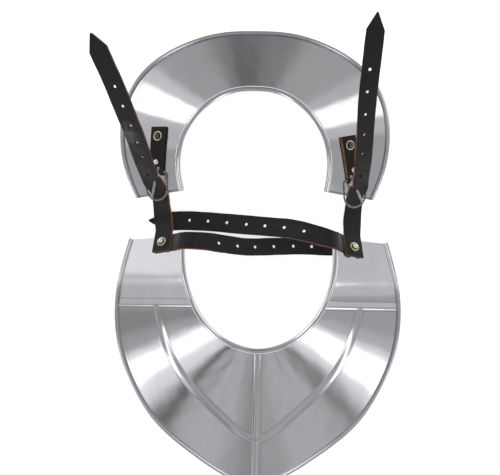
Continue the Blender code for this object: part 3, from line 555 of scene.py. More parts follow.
def build_plate(name, plate, grid, material):
    """The plate's solid, with the painted shade of its creases kept for the finish."""
    s_middle = [float(line[0]) for line in stations(plate, np.array([0.5]), grid.along)]
    loops, marks, turns = [], [], []
    for number, s in enumerate(s_middle):
        shares = plate_shares(plate, s, grid)
        wanted = np.r_[0.0, shares, 1.0]
        places = stations(plate, wanted, grid.along)[number]
        neck, outer = bead(plate, places[0], 0), bead(plate, places[-1], 1)
        inner_places = places[1:-1]
        raised, crease = plate.relief(inner_places, shares)
        upper = plate.top(inner_places, shares, raised)
        under = plate.top(inner_places, shares, raised - SHEET)
        loops.append(plate.placed(np.vstack([neck, upper, outer[::-1], under[::-1]])))
        # Each bead's foot takes the full painted shade of the creases beside it
        bead_foot_shade = np.zeros(len(neck))
        bead_foot_shade[-1] = 1.0
        marks.append(np.r_[bead_foot_shade, crease, bead_foot_shade[::-1], np.zeros(len(under))])
        turn = plate.unwind(places, wanted)
        edges = np.repeat(turn[:1], len(neck), axis=0), np.repeat(turn[-1:], len(outer), axis=0)
        turns.append(np.vstack([edges[0], turn[1:-1], edges[1], turn[-2:0:-1]]))
    thing = loft(name, loops, [material], marks=marks)
    turn_normals(thing.data, np.vstack(turns))
    return thing


def turn_normals(data, turns):
    """Turns the mesh's normals by a small turn for each of its points."""
    normals, points = np.zeros(3 * len(data.loops)), np.zeros(len(data.loops), int)
    data.corner_normals.foreach_get("vector", normals)
    data.loops.foreach_get("vertex_index", points)
    normals = normals.reshape(-1, 3)
    data.normals_split_custom_set(unit(normals + np.cross(turns[points], normals)))


def join_rings(mesh, rings, closed, capped=True):
    """Faces between neighbouring rings: (near ring, far ring, faces) for each pair. A closed row
    of rings joins its last to its first, and an open one may be capped at its two ends."""
    if capped and not closed:
        mesh.faces.new(rings[0])
        mesh.faces.new(rings[-1])
    bands = []
    for near, far in zip(rings, rings[1:] + rings[:1] if closed else rings[1:]):
        band = []
        for k, corner in enumerate(near):
            after = (k + 1) % len(near)
            band.append(mesh.faces.new((corner, near[after], far[after], far[k])))
        bands.append((near, far, band))
    return bands


def loft(name, loops, materials, faces=None, marks=None, mark_name="crease", caps=0):
    """A closed mesh through closed outlines. faces gives the materials of the faces after each."""
    mesh = bmesh.new()
    layer = mesh.verts.layers.float.new(mark_name)
    rings = []
    for number, loop in enumerate(loops):
        ring = []
        for i, point in enumerate(loop):
            vert = mesh.verts.new(at_frame(point))
            if marks is not None:
                vert[layer] = float(marks[number][i])
            ring.append(vert)
        rings.append(ring)
    for number, (_, _, band) in enumerate(join_rings(mesh, rings, False, capped=False)):
        for i, face in enumerate(band):
            face.material_index = 0 if faces is None else faces[number][i]
    ends = [mesh.faces.new(rings[0][::-1]), mesh.faces.new(rings[-1])]
    for face in ends:
        face.material_index = caps
    bmesh.ops.triangulate(mesh, faces=ends, ngon_method="EAR_CLIP")
    return finish_mesh(name, mesh, materials)


def add_object(name, data):
    thing = bpy.data.objects.new(name, data)
    bpy.context.scene.collection.objects.link(thing)
    return thing


def finish_mesh(name, mesh, materials, sharp=SHARP_DEG):
    """Turns a built mesh into a smooth object of the scene."""
    bmesh.ops.recalc_face_normals(mesh, faces=mesh.faces)
    if mesh.calc_volume(signed=True) < 0:
        bmesh.ops.reverse_faces(mesh, faces=mesh.faces)
    data = bpy.data.meshes.new(name)
    mesh.to_mesh(data)
    mesh.free()
    for material in materials:
        data.materials.append(material)
    thing = add_object(name, data)
    data.shade_smooth()
    data.set_sharp_from_angle(angle=math.radians(sharp))
    return thing


def at_frame(point):
    """A place of the layout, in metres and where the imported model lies."""
    return Vector(point) * MM + SHIFT


def frame_matrix(point, x_axis, z_axis):
    """Axes at a place, with z along z_axis and x near x_axis."""
    z = unit(z_axis)
    x = unit(np.asarray(x_axis) - z * np.dot(x_axis, z))
    y = np.cross(z, x)
    matrix = Matrix([[*row, 0.0] for row in np.array([x, y, z]).T]).to_4x4()
    matrix.translation = at_frame(point)
    return matrix


def turned(name, outline, matrix, materials, sides=48, sharp=SHARP_DEG, inner=0.0):
    """A solid of revolution: (radius, height) pairs from the bottom to the top. Faces nearer
    its axis than `inner` take the second material."""
    mesh = bmesh.new()
    rings = []
    closed = outline[0] == outline[-1]
    for radius, height in outline[:-1] if closed else outline:
        ring = []
        for k in range(sides):
            a = 2 * math.pi * k / sides
            place = Vector((radius * math.cos(a), radius * math.sin(a), height)) * MM
            ring.append(mesh.verts.new(matrix @ place))
        rings.append(ring)
    for near, far, band in join_rings(mesh, rings, closed):
        arm = (near[0].co + far[0].co) / 2 - matrix.translation
        reach = arm.cross(matrix.col[2].to_3d()).length
        for face in band:
            face.material_index = int(reach < inner * MM)
    return finish_mesh(name, mesh, materials, sharp)


def tube(name, points, sizes, closed, normals, materials, sides=16):
    """A wire along points; sizes are its half width across and half height along the normals."""
    points, normals = np.asarray(points, float), unit(normals)
    if closed:
        runs = unit(np.roll(points, -1, axis=0) - np.roll(points, 1, axis=0))
    else:
        runs = unit(np.gradient(points, axis=0))
    mesh = bmesh.new()
    rings = []
    for point, run, normal, (wide, tall) in zip(points, runs, normals, sizes):
        side = unit(np.cross(run, normal))
        up = np.cross(side, run)
        ring = []
        for k in range(sides):
            a = 2 * math.pi * (k + 0.5) / sides
            away = wide * math.cos(a) * side + tall * math.sin(a) * up
            ring.append(mesh.verts.new(at_frame(point + away)))
        rings.append(ring)
    join_rings(mesh, rings, closed)
    return finish_mesh(name, mesh, materials)


def carve(target, cutters):
    """Cuts each cutter out of target, which takes the cutter's finish on the cut's walls."""
    for cutter in cutters:
        modifier = target.modifiers.new(cutter.name, "BOOLEAN")
        modifier.operation = "DIFFERENCE"
        modifier.object = cutter
        modifier.solver = "EXACT"
        modifier.material_mode = "TRANSFER"
    bpy.context.view_layer.update()
    graph = bpy.context.evaluated_depsgraph_get()
    carved = bpy.data.meshes.new_from_object(target.evaluated_get(graph))
    target.modifiers.clear()
    old = target.data
    target.data = carved
    bpy.data.meshes.remove(old)
    for cutter in cutters:
        data = cutter.data
        bpy.data.objects.remove(cutter)
        bpy.data.meshes.remove(data)
    carved.shade_smooth()
    carved.set_sharp_from_angle(angle=math.radians(SHARP_DEG))


def hole_cutter(name, point, normal, radius, top, reach=4.0):
    """A punched hole's cutter: a round bore that widens a little at the grain side."""
    wide = radius + 0.5
    outline = [(radius, -reach), (radius, top - 0.35), (radius + 0.12, top - 0.12), (wide, top + 0.1)]
    outline.append((wide, reach))
    matrix = frame_matrix(point, np.cross(normal, [0.0, 1.0, 0.0]), normal)
    return turned(name, outline, matrix, [SHADED_HOLE_WALL], sides=28)


def bore_cutter(name, point, normal, radius, reach=9.0):
    matrix = frame_matrix(point, np.cross(normal, [0.0, 1.0, 0.0]), normal)
    return turned(name, [(radius, -reach), (radius, reach)], matrix, [SHADED_HOLE_WALL], sides=24)


class Strip:
    """A flat strip of leather along a smooth line, with its upper normal at each knot."""

    def __init__(self, points, normals=None, rolls=None):
        points = np.array(points, float)
        self.line = Course(running_length(points), points)
        self.length = float(self.line.knots[-1])
        runs = unit(self.line.at(self.line.knots + 0.1) - self.line.at(self.line.knots - 0.1))
        upper = []
        for i, run in enumerate(runs):
            if normals[i] is not None:
                upper.append(np.asarray(normals[i], float))
                continue
            side = unit(np.cross(run, [0.0, 0.0, 1.0]))
            up = np.cross(side, run)
            roll = math.radians(rolls[i])
            upper.append(up * math.cos(roll) - side * math.sin(roll))
        self.upper = Course(self.line.knots, upper)

    def frame(self, place):
        point = self.line.at(place)
        run = unit(self.line.at(place + 0.1) - self.line.at(place - 0.1))
        normal = self.upper.at(place)
        normal = unit(normal - run * np.dot(normal, run))
        return point, run, normal, np.cross(run, normal)


GRAIN, EDGE, FLESH, DYED = 0, 1, 2, 3
# Where a strap's cut edge is left raw: +1 for its right side and -1 for its left, from and to, in
# millimetres from the riveted end. The rest of its edges are dyed.
RAW_EDGES = {
    "left": [(1, 0.0, 400.0)],
    "right": [(-1, 0.0, 24.0), (-1, 64.0, 150.0)],
    "upper": [(-1, 21.0, 400.0)],
    "lower": [(1, 21.0, 78.0)],
}
# Where a strap's grain is lighter, partly from scuffs and partly as a painted glare: along it and beside
# its middle, how far each way, and how much
RubAndGlare = namedtuple("RubAndGlare", "place along beside across most")
RUBS_AND_GLARE = {
    "left": [
        RubAndGlare(137.0, 10.0, -5.0, 5.0, 0.75),
        RubAndGlare(118.0, 45.0, -2.0, 14.0, 0.16),
        RubAndGlare(88.0, 12.0, 2.0, 9.0, 0.10),
    ],
    "right": [RubAndGlare(95.0, 30.0, 2.0, 9.0, 0.03)],
    "upper": [RubAndGlare(60.0, 30.0, 0.0, 9.0, 0.06), RubAndGlare(95.0, 30.0, 0.0, 9.0, 0.04)],
    "lower": [RubAndGlare(30.0, 16.0, 0.0, 9.0, 0.06)],
}
# Where a strap's two sides lie further right: the y of its middle, how far each way, and how much
Sway = namedtuple("Sway", "y along left_side right_side")
RIGHT_SWAY = Sway(66.0, 13.0, 1.7, 0.8)
# How wavy a strap's sides are cut: how much, over how far, and a phase
CUT_WAVER = ((0.10, 9.0, 1), (0.05, 3.1, 2))


def leather_outline(half, thick, raw=(False, False)):
    """Points round a strap's section as (beside, above, finish of the face that follows)."""
    over, under = 0.45, 0.25
    top, low = thick / 2, -thick / 2
    left, right = (EDGE if side else DYED for side in raw)
    left_slant, right_slant = (RAW_SLANT if side else 0.0 for side in raw)
    outline = [(x, top, GRAIN) for x in np.linspace(-half + over, half - over, 11)]
    outline += [
        (half - over * 0.4, top - over * 0.13, GRAIN),
        (half - over * 0.07, top - over * 0.5, right),
        (half, top - over, right),
        (half + right_slant * 0.6 + 0.03, 0.0, right),
        (half + right_slant, low + under, right),
        (half + right_slant - under * 0.3, low + under * 0.3, FLESH),
    ]
    outline += [(x, low, FLESH) for x in np.linspace(half - under, -half + under, 7)]
    outline += [
        (-half - left_slant + under * 0.3, low + under * 0.3, left),
        (-half - left_slant, low + under, left),
        (-half - left_slant * 0.6 - 0.03, 0.0, left),
        (-half, top - over, left),
        (-half + over * 0.07, top - over * 0.5, GRAIN),
        (-half + over * 0.4, top - over * 0.13, GRAIN),
    ]
    return outline


def raw_sides(which, place):
    """Whether a strap's left and right sides are raw at a place."""
    found = [side for side, near, far in RAW_EDGES[which] if near <= place <= far]
    return -1 in found, 1 in found


def strap_mesh(name, which, strip, step=1.3):
    """A pointed strap with rounded grain edges, cut a little unevenly by hand."""
    shoulder = strip.length - POINT_LENGTH
    places = [*np.linspace(0.0, shoulder, math.ceil(shoulder / step) + 1)]
    places += [*np.linspace(shoulder, strip.length, math.ceil(POINT_LENGTH / step) + 1)[1:]]
    phase = len(name) * 0.7
    loops, faces, marks = [], [], []
    for place in places:
        point, _, normal, side = strip.frame(place)
        waver = sum(most * math.sin(place / over + times * phase) for most, over, times in CUT_WAVER)
        half = np.interp(place, (0.0, strip.length), STRAP_WIDTHS[which]) / 2 - EDGE_EASE + waver
        if place > shoulder:
            share = (place - shoulder) / POINT_LENGTH
            half += (POINT_WIDTH / 2 - half) * share
        outline = leather_outline(half, STRAP_THICK, raw_sides(which, place))
        faces.append([finish for _, _, finish in outline])
        corners = np.array([(x, z) for x, z, _ in outline])
        if which == "right":
            moved = np.where(corners[:, 0] * side[0] < 0, RIGHT_SWAY.left_side, RIGHT_SWAY.right_side)
            here = hump(point[1], RIGHT_SWAY.y, RIGHT_SWAY.along)
            corners[:, 0] += moved * math.copysign(here, side[0])
        loop = point + corners[:, :1] * side + corners[:, 1:] * normal
        loop[:, 2] = np.maximum(loop[:, 2], 0.0)
        loops.append(loop)
        # Lighter patches of grain, partly scuffs and partly a painted glare
        wear_and_glare_marks = np.zeros(len(corners))
        for rub_and_glare in RUBS_AND_GLARE[which]:
            here = rub_and_glare.most * hump(place, rub_and_glare.place, rub_and_glare.along)
            wear_and_glare_marks += here * hump(corners[:, 0], rub_and_glare.beside, rub_and_glare.across)
        marks.append(np.clip(wear_and_glare_marks, 0, 1))
    end = DYED if which == "lower" else EDGE
    return loft(name, loops, LEATHERS, faces=faces, marks=marks, mark_name="wear", caps=end)


Buckle = namedtuple("Buckle", "bar across toward normal")


def buckle_frame(buckle, along, beside, above):
    """A place in the buckle's own axes, from the middle of its bar."""
    return buckle.bar + buckle.toward * along + buckle.across * beside + buckle.normal * above


def plan_direction(run, normal):
    """A direction seen from above, laid into the surface with that normal."""
    run = np.array([run[0], run[1], 0.0])
    run[2] = -np.dot(run[:2], normal[:2]) / normal[2]
    return unit(run)


class SideLayout:
    """Where one side's rivets, tab, buckle and shoulder strap lie on the two plates."""

    def __init__(self, side, front, back):
        self.side = side
        self.fit = FITS[side.name]
        self.front_point, self.front_normal = front.seat(side.front_x, side.front_y)
        upper = back.seat(side.tab_x, side.tab_y)
        run = plan_direction(side.tab_run, upper[1])
        along = [side.tab_gap * step / TAB_STEPS for step in range(1, TAB_STEPS + 1)]
        places = [upper[0] + run * step for step in [-TAB_BEYOND_RIVET, *along]]
        seats = [back.seat(place[0], place[1]) for place in places]
        self.tab_seats = [seats[0], upper, *seats[1:]]
        self.tab_rivets = [upper, seats[-1]]
        point, normal = seats[-1]
        flat = plan_direction(self.fit.frame_run, normal)
        bar = point + plan_direction(side.tab_run, normal) * self.fit.bar_gap
        bar = bar + normal * (LOOP_RADIUS + GAP)
        lift = math.radians(self.fit.lift_deg)
        toward = flat * math.cos(lift) + normal * math.sin(lift)
        raised = normal * math.cos(lift) - flat * math.sin(lift)
        across = unit(np.cross(raised, toward))
        self.buckle = Buckle(bar, across * np.sign(across[0]), toward, raised)

    def shoulder_strip(self):
        """The strap's line: flat on the plate, through the buckle, then its free end."""
        name = self.side.name
        run = plan_direction(self.side.front_run, self.front_normal)
        seat = self.front_point + self.front_normal * (CROSS_LIFT + STACK_GAP + 1.5 * STRAP_THICK)
        steps = (-END_BEYOND_RIVET, 0.0, SHOULDER_SEAT - BEND_LEAD, SHOULDER_SEAT)
        passing = [buckle_frame(self.buckle, *step) for step in SHOULDER_PASS[name]]
        return route_strip(
            [
                *[(seat + run * step, self.front_normal, 0.0) for step in steps],
                *[(stop[:3], None, stop.roll) for stop in SHOULDER_LOW[name]],
                *[(point, self.buckle.normal, 0.0) for point in passing],
                *[(stop[:3], None, stop.roll) for stop in SHOULDER_HIGH[name]],
            ]
        )


def route_strip(knots):
    """A strip through knots, each a point, its upper normal if it is set, and its roll if not."""
    return Strip(*zip(*knots))


def cross_strip(which, layout):
    """The line of a cross strap: flat on its seat, then its free stops."""
    run = plan_direction(CROSS_RUN[which], layout.front_normal)
    seat = layout.front_point + layout.front_normal * (CROSS_LIFT + STRAP_THICK / 2)
    seat = seat + np.cross(run, layout.front_normal) * CROSS_ASIDE[which]
    steps = (-CROSS_BEYOND_RIVET, 0.0, CROSS_SEAT - BEND_LEAD, CROSS_SEAT)
    knots = [(seat + run * step, layout.front_normal, 0.0) for step in steps]
    return route_strip(knots + [(stop[:3], None, stop.roll) for stop in CROSS_STOPS[which]])


def stand_for(piece, node):
    """Puts a piece in its node's place."""
    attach(piece, "root")
    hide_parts(node)


def build_rivet(name, point, normal, stack, washer):
    """A rivet whose head lies on `stack` millimetres of leather, with a washer or without."""
    matrix = frame_matrix(point, (1.0, 0.0, 0.0), normal)
    seat = stack + GAP
    if washer:
        inner, rest = SHANK_RADIUS + GAP, seat
        outline = [(radius, rest + high) for radius, high in WASHER_RIM + WASHER_CUP]
        outline = [(inner, rest), *outline, (inner, rest + WASHER_FLOOR), (inner, rest)]
        # Faces inside the washer's cup take the painted shade
        finish = {"sharp": WASHER_SHARP_DEG, "inner": WASHER_SHADE_RADIUS}
        ring = turned(f"ring_{name}", outline, matrix, [BRASS, CUP_SHADE], **finish)
        stand_for(ring, f"washer_{name}")
        seat += HEAD_ON_WASHER
    dome_foot = seat + (FRONT_HEAD_RISE if name.startswith("front") else TAB_HEAD_RISE)
    tail = -SHEET - TAIL_GAP
    outline = [(TAIL_RADIUS - 0.3, tail - TAIL_THICK), (TAIL_RADIUS, tail - 0.6), (TAIL_RADIUS, tail)]
    outline += [(SHANK_RADIUS, tail), (SHANK_RADIUS, seat)]
    outline += [(radius, seat + high) for radius, high in HEAD_STEM]
    outline.append((HEAD_EDGE_RADIUS, dome_foot))
    for a in np.radians(HEAD_DEG):
        outline.append((HEAD_RADIUS * math.cos(a), dome_foot + HEAD_HEIGHT * math.sin(a)))
    dome = turned(f"dome_{name}", outline, matrix, [DARK_RIVET if name.endswith("upper") else RIVET])
    stand_for(dome, f"rivet_{name}")


def build_frame(name, buckle):
    """The wire: a straight bar, round corners and a half round arc."""
    half, corner, place = FRAME_HALF_WIDTH, FRAME_CORNER, FRAME_ARC_PLACE
    outline = [(0.0, x) for x in np.linspace(-half + corner, half - corner, 12)]
    for a in np.linspace(0, math.pi / 2, 8)[1:]:
        outline.append((corner - corner * math.cos(a), half - corner + corner * math.sin(a)))
    outline += [(x, half) for x in np.linspace(corner, place, 8)[1:-1]]
    for a in np.linspace(0, math.pi, 40):
        outline.append((place + half * math.sin(a), half * math.cos(a)))
    outline += [(x, -half) for x in np.linspace(place, corner, 8)[1:-1]]
    for a in np.linspace(0, math.pi / 2, 8)[:-1]:
        outline.append((corner - corner * math.sin(a), -half + corner - corner * math.cos(a)))
    points = [buckle_frame(buckle, along, beside, 0.0) for along, beside in outline]
    sizes = [(WIRE_RADIUS - WIRE_WORN, WIRE_RADIUS - WIRE_WORN)] * len(points)
    wire = tube(f"wire_{name}", points, sizes, True, [buckle.normal] * len(points), [WIRE])
    wire.visible_glossy = False
    stand_for(wire, f"buckle_frame_{name}")


def prong_points(layout):
    """The prong's line: hooked round the bar, then straight to its tip on the arc."""
    fit = layout.fit
    hook = WIRE_RADIUS + GAP + PRONG_RADIUS
    reach = math.sqrt(FRAME_HALF_WIDTH**2 - fit.prong_tip**2)
    tip = np.array([FRAME_ARC_PLACE + reach + PRONG_BEYOND_ARC, fit.prong_tip, hook])
    turns = np.radians(HOOK_DEG)
    steps = [np.array([hook * math.cos(a), fit.prong_bar, hook * math.sin(a)]) for a in turns]
    start = steps[-1]
    steps += [start + (tip - start) * share for share in np.linspace(0.06, 1.0, PRONG_STEPS)]
    return [buckle_frame(layout.buckle, *step) for step in steps]


def build_prong(name, buckle, points):
    """A prong that swells along its straight part and ends in a blunt tip."""
    sizes = []
    for number in range(len(points) - 1):
        share = max(0.0, (number - len(HOOK_DEG)) / PRONG_STEPS)
        swell = PRONG_SWELL * math.sin(math.pi * min(1.0, share * 1.05)) if share else 0.0
        sizes.append((PRONG_RADIUS + swell, PRONG_HALF_HEIGHT))
    sizes.append(PRONG_TIP_SIZE)
    prong = tube(f"tongue_{name}", points, sizes, False, prong_normals(points, buckle), [TONGUE])
    stand_for(prong, f"buckle_prong_{name}")


def prong_normals(points, buckle):
    """The prong's upper normals, square to the bar."""
    runs = unit(np.gradient(np.asarray(points), axis=0))
    return [np.cross(buckle.across, run) for run in runs]


def build_tab(name, layout):
    """The doubled leather: one strip that runs down the plate, round the bar and back on itself."""
    buckle = layout.buckle
    points = [point + normal * (TAB_LIFT + TAB_THICK / 2) for point, normal in layout.tab_seats]
    normals = [normal for _, normal in layout.tab_seats]
    points.append(points[-1] + plan_direction(layout.side.tab_run, normals[-1]) * TAB_FLAT)
    points.append(buckle.bar)
    strip = Strip(points, [*normals, normals[-1], normals[-1]])
    last = strip.line.knots[-2]
    off = (TAB_THICK - TAB_LAYER) / 2
    flat = np.linspace(0.0, last, 34)
    fold_radius = LOOP_RADIUS - TAB_LAYER / 2
    line, sides = [], []
    for place in flat:
        point, _, normal, side = strip.frame(place)
        line.append(point - normal * off)
        sides.append(side)
    for a in np.radians(np.linspace(-TAB_FOLD_DEG, TAB_FOLD_DEG, 17)):
        line.append(buckle_frame(buckle, fold_radius * math.cos(a), 0.0, fold_radius * math.sin(a)))
        sides.append(buckle.across * np.sign(np.dot(buckle.across, sides[0])))
    for place in flat[::-1]:
        point, _, normal, side = strip.frame(place)
        line.append(point + normal * off)
        sides.append(side)
    places = running_length(np.array(line))
    steps = np.linspace(0.0, places[-1], 2 * round(places[-1] / TAB_SPACING) + 1)
    line, sides = Course(places, line).at(steps), Course(places, sides).at(steps)
    for _ in range(TAB_SMOOTHING):
        line[1:-1] = (line[:-2] + 2 * line[1:-1] + line[2:]) / 4
    runs = unit(np.gradient(line, axis=0))
    loops, faces = [], []
    for step, point, run, side in list(zip(steps, line, runs, sides))[::2]:
        side = unit(side - run * np.dot(side, run))
        outward = np.cross(side, run)
        share = abs(step / places[-1] - 0.5) * 2
        half = TAB_WIDTH / 2 - TAB_SIDE_EASE + TAB_SIDE_WAVER * math.sin(step / TAB_SIDE_WAVE)
        half -= TAB_NARROWING * (1 - share) ** 4
        slanted = name == "right" and share > TAB_RAW_FROM and step > places[-1] / 2
        outline = leather_outline(half, TAB_LAYER, (slanted, slanted))
        faces.append([finish for _, _, finish in outline])
        corners = np.array([(x, z) for x, z, _ in outline])
        if slanted:
            cut_back = (corners[:, 0] * side[0] < 0) & (corners[:, 1] * outward[2] < 0)
            corners[cut_back, 0] *= 1 - TAB_CUT_BACK / half
        loops.append(point + corners[:, :1] * side - corners[:, 1:] * outward)
    tab = loft(f"leather_tab_{name}", loops, LEATHERS, faces=faces, caps=DYED)
    tab.visible_glossy = False
    matrix = frame_matrix(buckle.bar, buckle.toward, buckle.across)
    mesh = bmesh.new()
    bmesh.ops.create_cube(mesh, size=1.0)
    size = (SLOT_LENGTH, 3 * LOOP_RADIUS, SLOT_WIDTH)
    centre = (SLOT_LENGTH / 2 - SLOT_BEHIND_BAR, 0.0, layout.fit.prong_bar)
    for vert in mesh.verts:
        vert.co = matrix @ (Vector([c + v * w for c, v, w in zip(centre, vert.co, size)]) * MM)
    cutters = [finish_mesh("slot_cutter", mesh, [SHADED_HOLE_WALL])]
    for level, (point, normal) in enumerate(layout.tab_rivets):
        cutters.append(bore_cutter(f"bore_{level}", point, normal, RIVET_HOLE_RADIUS))
    carve(tab, cutters)
    stand_for(tab, f"buckle_tab_{name}")


class Nodes:
    """A short way to write a material's node tree."""

    def __init__(self, name, metallic, roughness, **constants):
        self.material = bpy.data.materials.new(name)
        self.material.use_nodes = True
        self.tree = self.material.node_tree
        self.shader = self.tree.nodes["Principled BSDF"]
        self.shader.inputs["Metallic"].default_value = metallic
        self.shader.inputs["Roughness"].default_value = roughness
        for socket, value in constants.items():
            self.shader.inputs[socket.replace("_", " ")].default_value = value
        self.places = self.tree.nodes.new("ShaderNodeTexCoord").outputs["Object"]

    def add(self, kind, settings=(), **inputs):
        node = self.tree.nodes.new(kind)
        for key, value in dict(settings).items():
            setattr(node, key, value)
        for key, value in inputs.items():
            numbered = key[0] == "i" and key[1:].isdigit()
            self.feed(node.inputs[int(key[1:]) if numbered else key], value)
        return node

    def feed(self, socket, value):
        if isinstance(value, bpy.types.NodeSocket):
            self.tree.links.new(value, socket)
        else:
            socket.default_value = value

    def noise(self, scale, detail=4.0, rough=0.5, places=None):
        node = self.add("ShaderNodeTexNoise", Vector=places or self.places, Scale=scale, Detail=detail)
        node.inputs["Roughness"].default_value = rough
        return node.outputs[0]

    def stretched(self, *scale):
        return self.add("ShaderNodeMapping", Vector=self.places, Scale=scale).outputs[0]

    def ramp(self, value, *stops):
        node = self.add("ShaderNodeValToRGB", i0=value)
        ramp = node.color_ramp
        while len(ramp.elements) < len(stops):
            ramp.elements.new(0.5)
        for element, (place, colour) in zip(ramp.elements, stops):
            element.position = place
            element.color = (*(colour if isinstance(colour, tuple) else [colour] * 3), 1.0)
        return node.outputs[0]

    def math(self, operation, a, b):
        return self.add("ShaderNodeMath", {"operation": operation}, i0=a, i1=b).outputs[0]

    def mix(self, share, a, b):
        node = self.add("ShaderNodeMix", {"data_type": "RGBA"})
        for index, value in ((0, share), (6, a), (7, b)):
            self.feed(node.inputs[index], value)
        return node.outputs[2]

    def attribute(self, name):
        return self.add("ShaderNodeAttribute", {"attribute_name": name}).outputs["Fac"]

    def use(self, socket, value):
        self.tree.links.new(value, self.shader.inputs[socket])

    def bump(self, height, distance, strength=1.0, under=None):
        node = self.add("ShaderNodeBump", Height=height, Distance=distance, Strength=strength)
        if under is not None:
            self.tree.links.new(under, node.inputs["Normal"])
        return node.outputs[0]


def steel_material():
    nodes = Nodes("polished_steel", 1.0, 0.2)
    smear = nodes.noise(1.0, 3.0, places=nodes.stretched(60.0, 18.0, 60.0))
    cloud = nodes.noise(22.0, 4.0)
    crease = nodes.attribute("crease")
    both = nodes.math("ADD", nodes.math("MULTIPLY", cloud, 0.6), nodes.math("MULTIPLY", smear, 0.4))
    base = nodes.ramp(both, (0.3, (0.61, 0.61, 0.64)), (0.7, (0.67, 0.67, 0.70)))
    # Painted shade: the base colour darkens towards a dark grey, and the roughness rises, along the
    # creases beside the ribs and the beads
    nodes.use("Base Color", nodes.mix(nodes.math("MULTIPLY", crease, 0.5), base, (0.16, 0.155, 0.15, 1.0)))
    rough = nodes.ramp(cloud, (0.25, 0.09), (0.75, 0.14))
    nodes.use("Roughness", nodes.math("ADD", rough, nodes.math("MULTIPLY", crease, 0.2)))
    brushed = nodes.noise(1.0, 2.0, places=nodes.stretched(2600.0, 240.0, 900.0))
    nodes.use("Normal", nodes.bump(brushed, 0.00002, 0.25))
    return nodes.material


def leather_material():
    nodes = Nodes("black_leather", 0.0, 0.5, Specular_IOR_Level=0.27)
    patch = nodes.noise(60.0, 5.0, 0.6)
    fine = nodes.noise(900.0, 3.0)
    # The marked grain lightens towards a bluish grey: partly scuffs, partly a painted glare on the black
    # leather
    wear_and_glare_breakup = nodes.ramp(nodes.noise(150.0, 5.0, 0.6), (0.35, 0.25), (0.65, 1.0))
    wear = nodes.math("MULTIPLY", nodes.attribute("wear"), wear_and_glare_breakup)
    black = nodes.ramp(patch, (0.3, (0.0065, 0.0065, 0.0075)), (0.7, (0.0125, 0.012, 0.013)))
    nodes.use("Base Color", nodes.mix(wear, black, (0.17, 0.17, 0.19, 1.0)))
    nodes.use("Roughness", nodes.ramp(patch, (0.25, 0.42), (0.75, 0.58)))
    cells = nodes.add("ShaderNodeTexVoronoi", Vector=nodes.places, Scale=1100.0).outputs["Distance"]
    pores = nodes.bump(cells, 0.00012, 0.5)
    nodes.use("Normal", nodes.bump(nodes.math("ADD", fine, patch), 0.00025, 0.5, under=pores))
    return nodes.material


def cut_leather_material():
    nodes = Nodes("cut_leather_edge", 0.0, 0.8)
    fibre = nodes.noise(500.0, 4.0, 0.7)
    patch = nodes.noise(70.0, 3.0)
    both = nodes.math("ADD", nodes.math("MULTIPLY", fibre, 0.5), nodes.math("MULTIPLY", patch, 0.5))
    stops = (0.35, (0.055, 0.020, 0.008)), (0.5, (0.17, 0.062, 0.022)), (0.68, (0.31, 0.135, 0.055))
    nodes.use("Base Color", nodes.ramp(both, *stops))
    nodes.use("Normal", nodes.bump(fibre, 0.0003, 0.7))
    return nodes.material


def fibre_material(name, rough, fibre, bumps, dark, light, **constants):
    """Bare or dyed fibres between two tones: fibre is the noise, and bumps its height and strength."""
    nodes = Nodes(name, 0.0, rough, **constants)
    noise = nodes.noise(*fibre)
    nodes.use("Base Color", nodes.ramp(noise, dark, light))
    nodes.use("Normal", nodes.bump(noise, *bumps))
    return nodes.material


def dyed_leather_material(name, dark, light):
    fibre, bumps = (500.0, 4.0, 0.7), (0.0003, 0.6)
    return fibre_material(name, 0.75, fibre, bumps, (0.35, dark), (0.7, light), Specular_IOR_Level=0.3)


def metal_material(name, dark, light, low, high, scale, bumps):
    nodes = Nodes(name, 1.0, low)
    cloud = nodes.noise(scale, 4.0)
    nodes.use("Base Color", nodes.ramp(cloud, (0.3, dark), (0.7, light)))
    nodes.use("Roughness", nodes.ramp(cloud, (0.3, low), (0.7, high)))
    nodes.use("Normal", nodes.bump(nodes.noise(scale * 2.5, 3.0), bumps, 0.6))
    return nodes.material


STEEL = steel_material()
LEATHER = leather_material()
CUT_LEATHER = cut_leather_material()
FLESH_TONES = (0.3, (0.012, 0.009, 0.008)), (0.7, (0.032, 0.022, 0.016))
FLESH_LEATHER = fibre_material("rough_leather_back", 0.9, (350.0, 6.0, 0.75), (0.0005, 0.8), *FLESH_TONES)
DYED_LEATHER = dyed_leather_material("dyed_leather_edge", (0.006, 0.0055, 0.0055), (0.022, 0.015, 0.011))
# The walls of holes, slots and bores take a darkened copy of the cut edge's brown: painted shade inside
# the holes
SHADED_HOLE_WALL = dyed_leather_material("punched_leather", (0.010, 0.006, 0.005), (0.045, 0.018, 0.010))
LEATHERS = [LEATHER, CUT_LEATHER, FLESH_LEATHER, DYED_LEATHER]
# Each metal's dark and light tone, its least and most roughness, its cloud's scale and its bumps
BRASS, WIRE, TONGUE, DARK_RIVET, CUP_SHADE, RIVET = (
    metal_material(*metal)
    for metal in (
        ("pale_brass", (0.42, 0.38, 0.22), (0.78, 0.74, 0.52), 0.22, 0.36, 420.0, 0.00015),
        ("dull_wire", (0.10, 0.10, 0.09), (0.27, 0.27, 0.255), 0.28, 0.45, 500.0, 0.0002),
        ("worn_tongue", (0.22, 0.22, 0.21), (0.46, 0.46, 0.45), 0.3, 0.45, 600.0, 0.0003),
        ("dark_rivet", (0.05, 0.042, 0.036), (0.16, 0.14, 0.12), 0.14, 0.26, 380.0, 0.0001),
        # The washer's cup is a near-black brass: painted shade in the hollow between its rim and the dome
        ("dark_brass", (0.05, 0.045, 0.03), (0.12, 0.11, 0.08), 0.4, 0.6, 420.0, 0.0002),
        ("bright_rivet", (0.62, 0.62, 0.62), (0.86, 0.86, 0.87), 0.10, 0.22, 380.0, 0.0001),
    )
)

